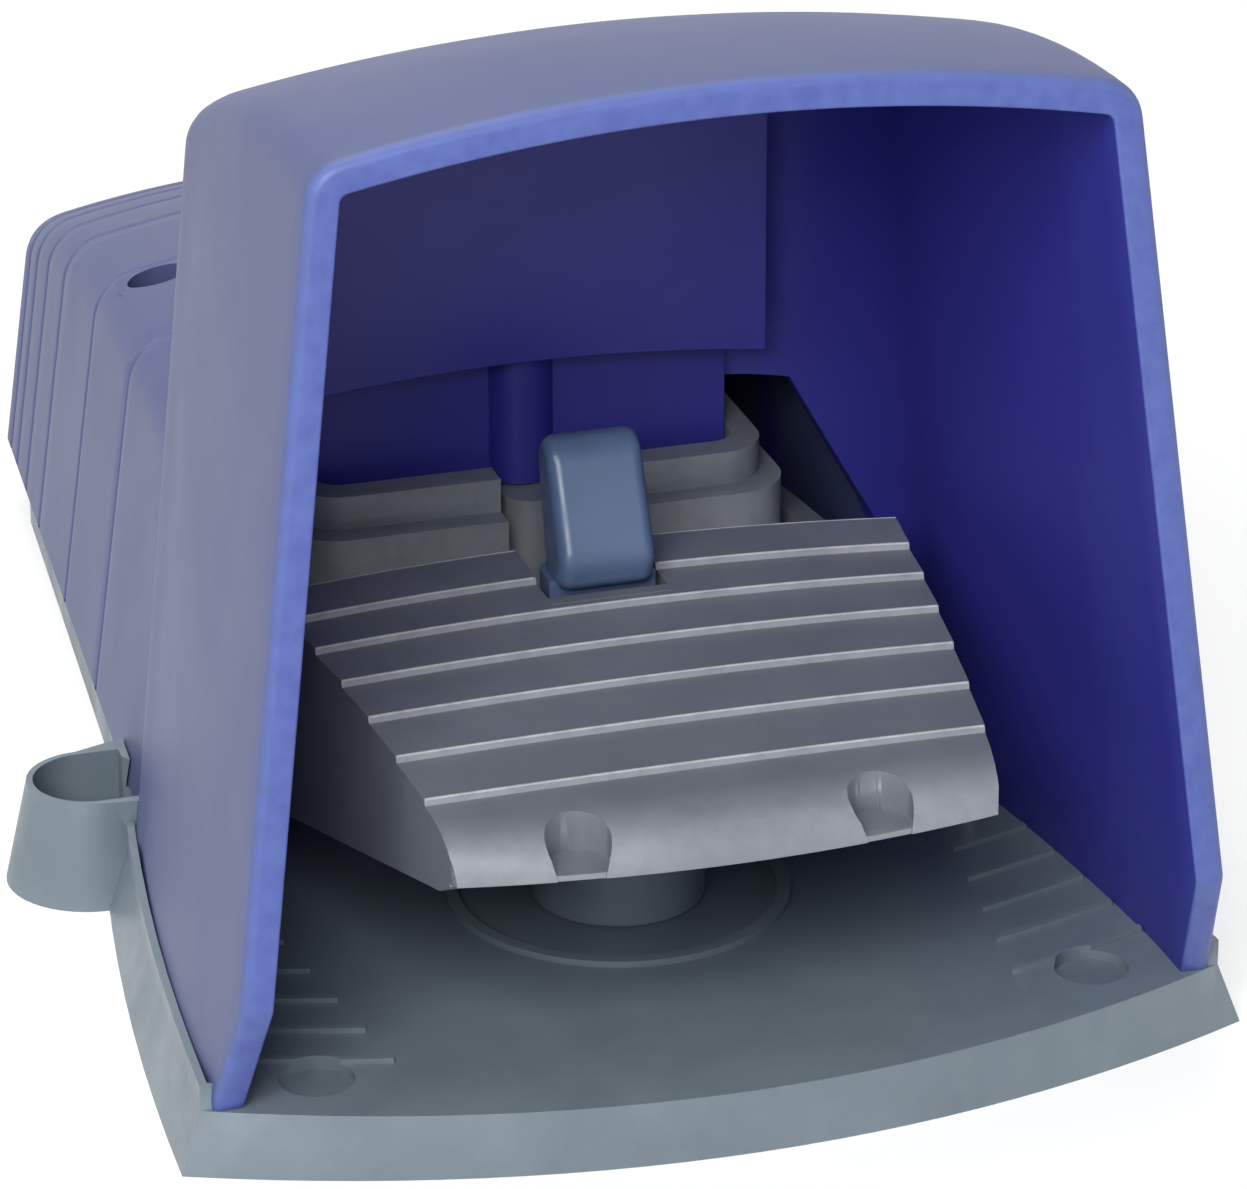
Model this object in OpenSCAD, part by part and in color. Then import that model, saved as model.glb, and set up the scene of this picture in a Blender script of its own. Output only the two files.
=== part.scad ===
// Hooded industrial foot switch: a guarded pedal that works two contact blocks.
// Millimetres. Modules draw with y = 0 at the base's front corners, y running to the rear, and
// place() moves them so that the origin is midway between the two floor bolts, on the floor.

/* [Base] */
// Width across the front corners at the floor
base_width = 160; // [150:1:172]
// Front corners to the rear face of the cable bulkhead
base_length = 249.5; // [240:0.5:265]
// How far the front edge bows out ahead of its corners
front_bow = 17.3; // [10:0.1:22]
// Inward draft of the skirt from the floor to its top
skirt_draft = 3.2; // [1:0.1:4]
// Height of the foot floor
floor_z = 9.1; // [8:0.1:12]
// Height of the side rim above the floor
rim_h = 4; // [2:0.1:6]
// Thickness of the side rim
rim_t = 1.2; // [0.8:0.1:1.6]
// Wall thickness of the moulded base
base_t = 3; // [2:0.1:4]
// Pitch of the stiffening ribs underneath
rib_pitch = 26; // [20:1:34]

/* [Floor fixing] */
// Distance between the two floor bolts
bolt_spacing = 140.6; // [138:0.1:144]
// Front corners to the bolt line
bolt_y = 98.4; // [96:0.1:101]
// Bolt clearance hole
bolt_d = 6.5; // [5:0.1:8.5]
// Counterbore for the bolt head
lug_bore_d = 17.4; // [14:0.1:18]
// Height of the lugs
lug_h = 16.5; // [12:0.1:20]

/* [Hood] */
// Height of the roof's crown at the mouth
hood_height = 154.2; // [145:0.1:165]
// Wall thickness
hood_t = 4.75; // [3.5:0.05:5.5]
// Outer half-width of the mouth at floor height
mouth_half = 75.4; // [74.8:0.1:75.4]
// Inward lean of the side walls, per millimetre of height
hood_lean = 0.1177; // [0.09:0.0001:0.13]
// Forward lean of the mouth, per millimetre of height
mouth_rake = 0.0643; // [0.03:0.0001:0.09]
// How far the foot of the mouth's plane lies ahead of the front corners
mouth_lead = 11; // [8:0.1:13]
// Where the straight sides end and the rear corners begin
hood_side_y = 77; // [74:0.1:78]
// Radius of the rear corners in plan
hood_corner_r = 34; // [33:0.1:36]
// Radius of the roof's crown across the hood
hood_crown_r = 277; // [200:1:400]
// Radius of the roof's fall to the rear
hood_fall_r = 168; // [140:1:260]
// Radius of the long edges between roof and sides
hood_edge_r = 5; // [3:0.1:8]

/* [Rear cover] */
// Half-width at its foot beside the hood
cover_half = 64.6; // [62:0.1:64.8]
// Narrowing of each side, per millimetre towards the rear
cover_taper = 0.085; // [0.05:0.001:0.1]
// Inward lean of the sides, per millimetre of height
cover_lean = 0.135; // [0.1:0.001:0.16]
// Height of the ridge line at its highest
cover_height = 78.2; // [76:0.1:84]
// Radius of the ridge line's fall to the rear
cover_fall_r = 424; // [380:1:700]
// Radius of the crown across the cover
cover_crown_r = 178; // [150:1:260]
// Wall thickness
cover_t = 3; // [2:0.1:3.6]
// Depth of the grooves round the cover
groove_d = 0.9; // [0.4:0.1:1.4]
// Width of the grooves at the surface
groove_w = 1.8; // [1:0.1:2.6]

/* [Pedal] */
// Half-width of the tread at the nose
pedal_half = 40.7; // [38:0.1:42]
// Gain in half-width from the nose to the rear edge
pedal_flare = 8.6; // [6:0.1:10]
// Length of the tread from the nose corners to the rear edge
tread_length = 68; // [66:0.1:70]
// Height of the tread at its rear edge
tread_z = 57.1; // [55:0.1:60]
// Radius of the tread's fall to the nose
tread_r = 245; // [200:1:400]
// Height of the nose's lower edge
nose_z = 40.5; // [38:0.1:43]
// Bow of the nose ahead of its corners
nose_bow = 6.3; // [3:0.1:8]
// Wall thickness
pedal_t = 2.8; // [2:0.1:3.2]
// Height of the steps of the tread
step_h = 1.0; // [0.4:0.1:1.6]
// Diameter of the two notches in the nose
notch_d = 9.5; // [6:0.1:12]
// Distance between the notches
notch_pitch = 44.8; // [30:0.1:56]
// Half-width of the slot for the toe latch
slot_half = 9.3; // [9.1:0.1:10.5]

/* [Pivot] */
// Front corners to the pivot axis
pivot_y = 118; // [116:0.1:120]
// Height of the pivot axis
pivot_z = 34; // [33:0.1:36]
// Diameter of the pivot shaft
shaft_d = 8; // [6:0.1:9]
// Running clearance of the shaft in its bushes, on the radius
shaft_clear = 0.05; // [0.02:0.01:0.1]
// Wall of the bearing bushes
bush_wall = 2; // [1.5:0.1:2.4]
// Length of the rocker from the pivot axis to its tip
rocker_reach = 30; // [28:0.1:31]
// Pedal travel in degrees
pedal_travel = 7; // [4:0.5:7]

/* [Toe latch] */
// Width of the latch
latch_w = 16.5; // [14:0.1:17]
// Height of its top
latch_z = 80.5; // [76:0.1:86]
// Thickness of its paddle
latch_t = 9; // [7:0.1:10]
// Distance from the nose corners to its axis
latch_y = 60; // [59:0.1:61]
// Height of its axis
latch_axis_z = 47; // [46:0.1:48]
// Diameter of its pin
latch_pin_d = 4; // [3:0.1:4.4]

/* [Return spring] */
// Outer diameter of the spring
spring_d = 20; // [18:0.1:20.5]
// Wire diameter
wire_d = 2; // [1.4:0.1:2.4]
// Number of turns
turns = 6; // [4:1:7]
// Outer diameter of the pillar that holds it
pillar_d = 26.2; // [24.5:0.1:28]
// Height of the pillar's top
pillar_z = 30; // [28:0.1:31]
// Distance from the front corners to its axis
pillar_y = 51.4; // [48:0.1:54]

/* [Switching] */
// Distance between the two contact blocks' plungers
block_pitch = 28; // [26:0.1:32]
// Width of a contact block
block_w = 22; // [18:0.1:23]
// Length of a contact block
block_l = 46; // [40:0.1:50]
// Height of a contact block
block_h = 18.5; // [16:0.1:19]
// Plunger diameter
plunger_d = 5; // [4:0.1:6]
// Diameter of the two cable entries
entry_d = 20.3; // [16.3:0.1:20.5]
// Distance between the cable entries
entry_pitch = 42; // [34:0.1:46]

/* [Hidden] */
$fn = 64;

eps = 0.01;
gap = 0.3;                     // between pieces that move past each other
seat = 0.02;                   // between pieces that are fitted together
base_half = base_width / 2;
side_slope = 0.044;            // how fast the base's sides start to narrow
side_curve = 0.000762;         // and how fast they curve inwards
front_end_y = 90;              // where the wide front of the base ends
tray_y = 128;                  // where the wiring tray begins
tray_floor = 4;
tray_z = 11.3;                 // top of the tray's flange
gasket_t = 0.8;
cover_z = tray_z + gasket_t;   // foot of the rear cover
cover_front_y = 86;
cover_rear_y = base_length + 2.5;
grooves = [139.6, 175.5, 207.5, 224, 235.6, 243.4];
fillet_steps = 4;
crown_steps = 6;

back_open_half = 43.5;         // the gap in the hood's back wall that the mechanism passes
back_open_z = 68;
back_open_foot = 55;           // its half-width lower down
back_open_bend = 46;           // and the height where its sides turn upright
chin_z = 28.5;                 // where the foot of the mouth starts to slope back
chin_y = 0.7;                  // and where it meets the floor
hood_back_y = hood_side_y + hood_corner_r;
housing_half = 40;             // pivot housing, at its lower step
housing_z = 55.5;
housing_step = 2.5;            // how far the upper step lies inside the lower one
housing_step_h = 5.3;
housing_y = 87.3;
housing_end_y = tray_y - 0.5;
cavity_half = 33.4;            // the shaft behind its walls
cavity_y = housing_y + 9.2;
front_gap_half = 6.2;          // the gap in its front wall
front_gap_z = 30;
insert_half = cavity_half - 0.4;
face_y = 101.8;                // lower face of the front housing
pod_y = 94;                    // its upper panel
pod_half = 37;
pod_z = 76;
pod_arch = 2.4;

tread_steps = 6;
first_ridge = 7.5;
arm_in = housing_half + 1.5;
arm_t = 4;
arm_r = 11;
shaft_r = shaft_d / 2;
shaft_half = arm_in + arm_t + 2.8;
clip_t = 1;
bush_r = shaft_r + bush_wall;
tip_r = 3;
carrier_z = pivot_z + tip_r + 4.5;
carrier_t = 1.5;
block_z = carrier_z + carrier_t;
block_y = pivot_y + rocker_reach - 8;
pillar_wall = 2.5;
ring_t = 3;                    // thickness of the rubber stop ring
stop_gap = (pivot_y - pillar_y + pillar_d / 2) * sin(pedal_travel) + 0.6;
seat_z = 37.4;                 // underside of the return spring's seat
seat_t = 2;
seat_r = pillar_d / 2 - pillar_wall - 0.4;
cheek_t = 3;                   // walls beside the slot for the latch
cheek_half = 4.5;              // half their length, and their depth below the latch's axis
slot_lead = 6.3;                // how far the slot begins ahead of the latch's axis
notch_y = -2.2;                // axis of the two notches in the nose
cover_screw_x = 41;
cover_screw_y = 169;
cover_post_z = 40;
cover_head_z = 46;
hood_tab_y = [62, 84];
entry_z = 26;
bulkhead_half = 38;
bulkhead_z = 46;
bulkhead_t = 6;
pad_places = [[52, 12], [36, 234]];
lug_wall = 1;                  // round the counterbore, at the lug's top
lug_draft = 3.6;               // how much wider the lug is at the floor
lug_seat_z = base_t + 3;       // seat of the bolt's head
pad_r = 8;
pad_h = 2.5;

grey = "dimgray";
blue = "slateblue";
steel = "silver";

// ---- shared shapes -------------------------------------------------------------------------

module place() translate([0, -bolt_y, 0]) children();

// A solid through rings of points that run counterclockwise, seen from the last ring
module skin(rings) {
  n = len(rings[0]);
  m = len(rings);
  sides = [for (i = [0 : m - 2], j = [0 : n - 1])
    let (a = i * n + j, b = i * n + (j + 1) % n) each [[a, b + n, b], [a, a + n, b + n]]];
  caps = [[for (j = [0 : n - 1]) j], [for (j = [n - 1 : -1 : 0]) (m - 1) * n + j]];
  polyhedron(points = [for (r = rings) each r], faces = concat(caps, sides), convexity = 8);
}

// A cylinder along x from x0 to x1 about the point (y, z)
module rod(r, x0, x1, y, z) translate([x0, y, z]) rotate([0, 90, 0]) cylinder(r = r, h = x1 - x0);

// A flat shape drawn in y and z, as thick along x as from x0 to x1
module side_plate(x0, x1) translate([x0, 0, 0]) rotate([90, 0, 90]) linear_extrude(x1 - x0)
  children();

// A box from one corner to the opposite one
module block(a, b) translate(a) cube(b - a);

// The same shape on the left and on the right
module both() {
  children();
  mirror([1, 0, 0]) children();
}

// A rectangle from -w to w and from y0 to y1 with round corners
module rounded(w, y0, y1, r) {
  translate([r - w, y0]) square([2 * (w - r), y1 - y0]);
  translate([-w, y0 + r]) square([2 * w, y1 - y0 - 2 * r]);
  for (x = [r - w, w - r], y = [y0 + r, y1 - r]) translate([x, y]) circle(r);
}

// A pan-head screw that points down, its head seated at height z
module pan_screw(r, head_r, length, z) {
  translate([0, 0, z - length]) cylinder(r = r, h = length + eps);
  difference() {
    translate([0, 0, z]) cylinder(r = head_r, h = head_r * 0.6);
    block([-head_r, -0.5, z + head_r * 0.35], [head_r, 0.5, z + head_r]);
    block([-0.5, -head_r, z + head_r * 0.35], [0.5, head_r, z + head_r]);
  }
}

// A round wire wound about the z axis, with an eight-sided section
module coil(r, wire, pitch, turns, steps = 14) {
  count = round(turns * steps);
  rings = [for (i = [0 : count]) let (a = 360 * i / steps, z = pitch * i / steps)
    [for (k = [0 : 5]) let (b = 60 * k, q = r + wire / 2 * cos(b))
      [q * cos(a), q * sin(a), z + wire / 2 * sin(b)]]];
  skin([for (i = [count : -1 : 0]) rings[i]]);
}

function bend(a, c, b, t) = (1 - t) * (1 - t) * a + 2 * t * (1 - t) * c + t * t * b;

// Right half of an arched section: foot, leaning side, rounded edge and crowned roof
function half_arch(half, lean, foot, roof, crown, r) =
  let (x0 = half - lean * (roof - foot),
       x1 = x0 + lean * x0 * x0 / (2 * crown),
       xc = x0 + lean * x1 * x1 / (2 * crown),
       zc = roof - xc * xc / (2 * crown),
       side = [xc + lean * r, zc - r],
       top = [xc - r, roof - (xc - r) * (xc - r) / (2 * crown)])
  concat([[half, foot]],
         [for (i = [0 : fillet_steps]) bend(side, [xc, zc], top, i / fillet_steps)],
         [for (i = [1 : crown_steps])
           let (x = (xc - r) * (1 - i / crown_steps)) [x, roof - x * x / (2 * crown)]]);

// The whole arch as a ring of points, at y = at + rake * z
function arch(half, lean, foot, roof, crown, r, at, rake = 0) =
  let (h = half_arch(half, lean, foot, roof, crown, r), n = len(h))
  concat([for (p = h) [-p[0], at + rake * p[1], p[1]]],
         [for (i = [n - 2 : -1 : 0]) [h[i][0], at + rake * h[i][1], h[i][1]]]);

// ---- outlines ------------------------------------------------------------------------------

// How far the base's side has come in at y
function narrowing(y) = side_slope * max(y, 0) + side_curve * pow(max(y, 0), 2);

// Outline of the wide front of the base, drawn in by inset
function front_outline(inset, rear) =
  let (half = base_half - inset, n = 14, m = 8)
  concat([for (i = [-n : n]) [half * i / n, inset / 2 - front_bow * (1 - pow(i / n, 2))]],
         [for (i = [1 : m]) let (y = inset / 2 + (rear - inset / 2) * i / m)
           [half - narrowing(y), y]],
         [for (i = [m : -1 : 1]) let (y = inset / 2 + (rear - inset / 2) * i / m)
           [narrowing(y) - half, y]]);

function lift(outline, z) = [for (p = outline) [p[0], p[1], z]];

// Half-width of the rear cover at its foot
function cover_side(y) = cover_half - cover_taper * (y - cover_front_y);

// Plan of the wiring tray, drawn in by inset
module tray_plan(inset, from) {
  rear = base_length - inset;
  cut = 10;
  w0 = cover_side(from) - inset;
  w1 = cover_side(rear) - inset;
  polygon([[w0, from], [w1, rear - cut], [w1 - cut * 0.3, rear - cut * 0.3], [w1 - cut, rear],
           [cut - w1, rear], [cut * 0.3 - w1, rear - cut * 0.3], [-w1, rear - cut], [-w0, from]]);
}

// ---- hood ----------------------------------------------------------------------------------

// Outer half-width of the hood at y and z
function hood_half(y, z) = mouth_half - hood_lean * (z - floor_z)
  - narrowing(y) * (1 - 0.0025 * (z - floor_z));

// Where the plane of the mouth lies at height z
function mouth_at(z) = mouth_rake * z - mouth_lead;

function hood_roof(y) = hood_height - pow(max(y, 0), 2) / (2 * hood_fall_r);

// A section of the hood: u runs from the mouth to where the corners begin
function hood_ring(u, shift, inset, foot) =
  let (at = (u - 1) * mouth_lead + u * hood_side_y + shift,
       rake = (1 - u) * mouth_rake,
       high = 120,
       half = hood_half(at + rake * foot, foot),
       lean = (half - hood_half(at + rake * high, high)) / (high - foot))
  arch(half - inset, lean, foot, hood_roof(at + rake * hood_height) - inset, hood_crown_r,
       max(1.2, hood_edge_r - inset), at, rake);

// A section of the hood's round rear corners, a degrees round
function hood_corner(a, inset, foot) =
  let (r = hood_corner_r - inset,
       y = hood_side_y + r * sin(a),
       in = inset + r * (1 - cos(a)),
       half = hood_half(hood_side_y, foot),
       lean = (half - hood_half(hood_side_y, 120)) / (120 - foot))
  arch(half - in, lean, foot, hood_roof(y) - inset - 0.35 * r * (1 - cos(a)), hood_crown_r,
       max(1.2, hood_edge_r - inset), y);

module hood_volume(inset, foot, ahead = 0) {
  lip = [[0, 1.4], [0.9, 0.4], [2.4, 0]];
  mouth = ahead > 0 ? [hood_ring(0, -ahead, inset, foot)]
                    : [for (p = lip) hood_ring(0, p[0], inset + p[1], foot)];
  skin(concat(mouth, [for (u = [0.2 : 0.2 : 1]) hood_ring(u, 0, inset, foot)],
              [for (a = [15 : 15 : 90]) hood_corner(a, inset, foot)]));
}

// Inner half-width of the hood at its foot
function hood_foot(y) = y <= hood_side_y ? hood_half(y, floor_z) - hood_t
  : hood_half(hood_side_y, floor_z) - hood_corner_r
    + sqrt(pow(hood_corner_r - hood_t, 2) - pow(y - hood_side_y, 2));

module hood_tab_holes(r, z0, z1)
  both() for (y = hood_tab_y) translate([hood_foot(y) - 5, y, z0]) cylinder(r = r, h = z1 - z0);

module hood() place() color(blue) {
  difference() {
    hood_volume(0, floor_z);
    hood_volume(hood_t, floor_z - 1, 20);
    translate([0, hood_back_y + 5, 0]) rotate([90, 0, 0]) linear_extrude(hood_corner_r - 5)
      polygon([[-back_open_foot, 0], [back_open_foot, 0], [back_open_foot, back_open_bend],
               [back_open_half, back_open_z], [-back_open_half, back_open_z],
               [-back_open_foot, back_open_bend]]);
    side_plate(-100, 100)
      polygon([[-30, chin_z], [mouth_at(chin_z), chin_z], [chin_y, floor_z], [chin_y, 0], [-30, 0]]);
  }
  difference() {
    both() for (y = hood_tab_y)
      block([hood_foot(y) - 9.5, y - 5, floor_z], [hood_foot(y) + 1, y + 5, floor_z + 3]);
    hood_tab_holes(2.2, 0, 20);
  }
}

module front_housing() place() color(blue) {
  arch_r = (pod_half * pod_half + pod_arch * pod_arch) / (2 * pod_arch);
  intersection() {
    union() {
      difference() {
        block([-pod_half, pod_y, pod_z], [pod_half, hood_back_y, hood_height]);
        translate([0, 0, pod_z + pod_arch - arch_r]) rotate([-90, 0, 0])
          cylinder(r = arch_r, h = 2 * hood_back_y, $fn = 256);
      }
      block([-insert_half, face_y, back_open_z - 1], [insert_half, hood_back_y, pod_z + 3]);
    }
    hood_volume(hood_t + gap, 0);
  }
  block([-insert_half, face_y, housing_z - 5], [insert_half, housing_end_y - 8, back_open_z - 0.6]);
  intersection() {
    translate([0, face_y + 2, housing_z + 1]) cylinder(r = 5.5, h = pod_z + 3 - housing_z);
    block([-10, face_y - 10, 0], [10, face_y + 1, pod_z + 3]);
  }
}

// ---- rear cover ----------------------------------------------------------------------------

function cover_roof(y) = cover_height - pow(max(y - 115, 0), 2) / (2 * cover_fall_r);

function cover_ring(y, inset, foot, tuck = 0) =
  arch(cover_side(y) - inset - tuck + cover_lean * (cover_z - foot), cover_lean, foot,
       cover_roof(y) - inset - tuck, cover_crown_r, max(1.5, 6 - inset), y);

module cover_volume(inset, foot) {
  w = groove_w / 2;
  dips = [for (g = grooves) each [[g - w, 0], [g - w / 3, groove_d], [g + w / 3, groove_d], [g + w, 0]]];
  plain = [for (g = grooves) [g, 0]];
  rounding = [[-4.2, 0], [-1.4, 0.9], [0, 3.2]];
  stations = concat([[cover_front_y - 4, 0]], inset > 0 ? plain : dips,
                    [for (p = rounding) [cover_rear_y - inset + p[0], p[1]]]);
  skin([for (s = stations) cover_ring(s[0], inset, foot, s[1])]);
}

module rear_cover() place() color(blue) {
  difference() {
    union() {
      difference() {
        cover_volume(0, cover_z);
        cover_volume(cover_t, cover_z - 2);
      }
      intersection() {
        both() translate([cover_screw_x, cover_screw_y, cover_post_z]) cylinder(r = 7, h = 60);
        cover_volume(0.5, cover_z);
      }
    }
    hood_volume(-gap, 0);
    block([-200, 0, 0], [200, cover_front_y, 200]);
    both() translate([cover_screw_x, cover_screw_y, cover_head_z]) cylinder(r = 5, h = 60);
    both() translate([cover_screw_x, cover_screw_y, 0]) cylinder(r = 2.3, h = 60);
    block([-bulkhead_half - gap, base_length - 20, 0],
          [bulkhead_half + gap, base_length + 20, bulkhead_z + gap]);
  }
}

module cover_gasket() place() color("black") translate([0, 0, tray_z]) difference() {
  linear_extrude(gasket_t) tray_plan(1.7, cover_front_y);
  translate([0, 0, -1]) linear_extrude(gasket_t + 2) tray_plan(4.6, cover_front_y - 1);
  translate([0, 0, -tray_z]) hood_volume(-gap, 0);
  block([-bulkhead_half - gap, base_length - 20, -5], [bulkhead_half + gap, base_length + 20, 5]);
}

module cover_screws() place() color(steel) both()
  translate([cover_screw_x, cover_screw_y, 0]) pan_screw(1.75, 4, 20, cover_head_z);

module hood_screws() place() color(steel) both() for (y = hood_tab_y)
  translate([hood_foot(y) - 5, y, 0]) pan_screw(2, 3.8, 9, floor_z + 3);

// ---- base ----------------------------------------------------------------------------------

// One lug for a floor bolt, wider at its foot, with webs that run into the side of the base
module lug() translate([bolt_spacing / 2, bolt_y, 0]) {
  r = lug_bore_d / 2 + lug_wall;
  reach = 14;
  cylinder(r1 = r + lug_draft, r2 = r, h = lug_h);
  linear_extrude(lug_h) polygon([[-reach, -r - 2], [0, -r], [0, r], [-reach, r + 5]]);
}

// The counterbore of a lug, which stays open towards the hood
module lug_bore() translate([bolt_spacing / 2, bolt_y, lug_seat_z]) {
  cylinder(d = lug_bore_d, h = lug_h);
  block([-6.5, -lug_bore_d / 2, 0], [0, lug_bore_d / 2, lug_h]);
}

// The space inside the skirt, under the floor
module hollow_plan() {
  polygon(front_outline(skirt_draft + base_t, front_end_y - 6));
  translate([-54, front_end_y - 12]) square([108, tray_y - front_end_y]);
}

module floor_ribs() {
  r = (base_half * base_half + front_bow * front_bow) / (2 * front_bow);
  both() for (i = [0 : 4]) intersection() {
    translate([0, 2.2 + 9.9 * i + r, floor_z - eps]) difference() {
      cylinder(r = r + 0.6, h = 0.8, $fn = 256);
      translate([0, 0, -1]) cylinder(r = r - 0.6, h = 4, $fn = 256);
    }
    block([47 + 1.4 * i, 0, 0], [70 - i, 80, 20]);
  }
}

module base_plate() place() color(grey) {
  difference() {
    union() {
      skin([lift(front_outline(0, front_end_y), 0),
            lift(front_outline(skirt_draft, front_end_y), floor_z)]);
      linear_extrude(floor_z) tray_plan(1.5, front_end_y - 10);
      difference() {
        translate([0, 0, floor_z - eps]) linear_extrude(tray_z - floor_z + eps)
          tray_plan(1.5, cover_front_y);
        translate([0, 0, -2]) hood_volume(-gap, 0);
        block([-housing_half - gap, 0, 0], [housing_half + gap, tray_y, 20]);
      }
      both() difference() {
        lug();
        hood_volume(-gap, floor_z);
        skin([for (y = [cover_front_y - 4, tray_y]) cover_ring(y, -gap, tray_z)]);
      }
      difference() {
        translate([0, 0, floor_z - eps]) linear_extrude(rim_h)
          polygon(front_outline(skirt_draft, front_end_y));
        linear_extrude(40) polygon(front_outline(skirt_draft + rim_t, front_end_y + 5));
        block([-200, -50, 0], [200, 1.5, 50]);
      }
      block([-bulkhead_half, base_length - bulkhead_t, 0], [bulkhead_half, base_length, bulkhead_z]);
      floor_ribs();
      translate([0, pillar_y, 0]) difference() {
        cylinder(r = 26, h = floor_z + 1);
        cylinder(r = 24, h = floor_z + 2);
      }
    }
    translate([0, 0, -1]) linear_extrude(floor_z - base_t + 1) hollow_plan();
    translate([0, 0, -1]) linear_extrude(2) tray_plan(12, tray_y + 4);
    translate([0, 0, tray_floor]) linear_extrude(40)
      intersection() {
        tray_plan(6.5, tray_y);
        translate([-100, 0]) square([200, base_length - bulkhead_t]);
      }
    both() translate([bolt_spacing / 2, bolt_y, -1]) cylinder(d = bolt_d, h = lug_h + 2);
    both() lug_bore();
    both() translate([58.7, 6.1, floor_z - 1.4]) cylinder(d = 11, h = 3);
    both() translate([entry_pitch / 2, base_length - bulkhead_t - 1, entry_z]) rotate([-90, 0, 0])
      cylinder(d = entry_d, h = bulkhead_t + 2);
    hood_tab_holes(2.05, 2, 20);
    both() for (p = pad_places) translate([p[0], p[1], -1]) cylinder(r = pad_r + seat, h = pad_h + 1);
  }
  difference() {
    union() {
      intersection() {
        linear_extrude(floor_z - base_t + eps) hollow_plan();
        union() {
          for (x = [-3 * rib_pitch : rib_pitch : 3 * rib_pitch])
            block([x - 0.9, -20, 0], [x + 0.9, 130, 20]);
          for (y = [0 : rib_pitch : 120]) block([-90, y - 0.9, 0], [90, y + 0.9, 20]);
          both() for (p = pad_places) translate([p[0], p[1], 0]) cylinder(r = pad_r + 2, h = 20);
          both() for (y = hood_tab_y) translate([hood_foot(y) - 5, y, 0]) cylinder(r = 4.5, h = 20);
        }
      }
      both() translate([cover_screw_x, cover_screw_y, tray_floor - eps])
        cylinder(r = 6, h = cover_post_z - gap - tray_floor);
    }
    both() for (p = pad_places) translate([p[0], p[1], -1]) cylinder(r = pad_r + seat, h = pad_h + 1);
    both() translate([cover_screw_x, cover_screw_y, 20]) cylinder(r = 1.8, h = 60);
    hood_tab_holes(2.05, 2, 20);
  }
}

module rubber_pads() place() color("black") both() for (p = pad_places)
  translate([p[0], p[1], 0]) cylinder(r = pad_r, h = pad_h);

module pivot_housing() place() color(grey) {
  difference() {
    union() {
      translate([0, 0, floor_z]) linear_extrude(housing_z - floor_z)
        rounded(housing_half, housing_y, housing_end_y, 9);
      translate([0, 0, floor_z]) linear_extrude(housing_z + housing_step_h - floor_z)
        rounded(housing_half - housing_step, housing_y + 4.2, housing_end_y, 8);
    }
    linear_extrude(100) rounded(cavity_half, cavity_y, housing_end_y - 3, 4);
    block([-24, housing_end_y - 8, 0], [24, housing_end_y + 1, housing_z - 5]);
    block([-front_gap_half, housing_y - 1, front_gap_z], [front_gap_half, cavity_y + 3, 100]);
    rod(bush_r, -100, 100, pivot_y, pivot_z);
  }
  // the column that stands in the gap in the front wall
  translate([0, cavity_y + 0.3, floor_z])
    cylinder(r = front_gap_half - 1.5, h = housing_z + 0.7 - floor_z);
}

module spring_pillar() place() color(grey) translate([0, pillar_y, 0]) difference() {
  translate([0, 0, floor_z]) cylinder(d = pillar_d, h = pillar_z - floor_z);
  translate([0, 0, floor_z + 3]) cylinder(r = pillar_d / 2 - pillar_wall, h = 60);
}

module stop_ring() place() color("black") translate([0, pillar_y, pillar_z]) difference() {
  cylinder(d = pillar_d, h = ring_t);
  translate([0, 0, -1]) cylinder(r = pillar_d / 2 - pillar_wall, h = 10);
}

module pivot_bushes() place() color("goldenrod") both() difference() {
  union() {
    rod(bush_r - seat, cavity_half, housing_half + eps, pivot_y, pivot_z);
    rod(bush_r + 1.5, housing_half, housing_half + 1, pivot_y, pivot_z);
  }
  rod(shaft_r + shaft_clear, 0, 100, pivot_y, pivot_z);
}

// ---- pedal ---------------------------------------------------------------------------------

function tread(y) = tread_z - pow(tread_length - y, 2) / (2 * tread_r);
function across(x) = 1 - pow(x / (pedal_half + pedal_flare), 2);
function nose(x) = -0.5 - nose_bow * across(x);
function ridge(i) = first_ridge + (tread_length - first_ridge) * i / tread_steps;
function ridge_at(i, x) = ridge(i) + (1 + 4 * i / tread_steps) * across(x);

// Section of the tread at x, with its steps
function tread_section(x, foot) =
  let (rear = ridge_at(tread_steps, x), t0 = tread(first_ridge))
  concat([[x, nose(x), foot], [x, rear, foot], [x, rear, tread_z]],
         [for (i = [tread_steps - 1 : -1 : 0]) each [[x, ridge_at(i, x) + 0.4, tread(ridge(i))],
                                                   [x, ridge_at(i, x), tread(ridge(i)) - step_h]]],
         [for (t = [0.2 : 0.2 : 1])
           let (p = bend([ridge_at(0, x), t0 - step_h], [nose(x) + 1, t0 - 2.5],
                         [nose(x), foot + 0.5], t)) [x, p[0], p[1]]]);

// Section of the space under the tread
function under_section(x, foot) =
  let (rear = ridge_at(tread_steps, x) + 5, n = 8)
  concat([[x, nose(x) + pedal_t + 1, foot], [x, rear, foot]],
         [for (i = [n : -1 : 0]) let (y = first_ridge + 2 + (rear - first_ridge - 2) * i / n)
           [x, y, tread(min(y, tread_length)) - pedal_t]]);

slices = [for (x = [-52 : 4 : 52]) x];

module tread_plan() {
  w = pedal_half;
  v = pedal_half + pedal_flare;
  polygon([[-w, -1], [2.5 - w, -8], [w - 2.5, -8], [w, -1], [v, tread_length], [v, 90], [-v, 90],
           [-v, tread_length]]);
}

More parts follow.
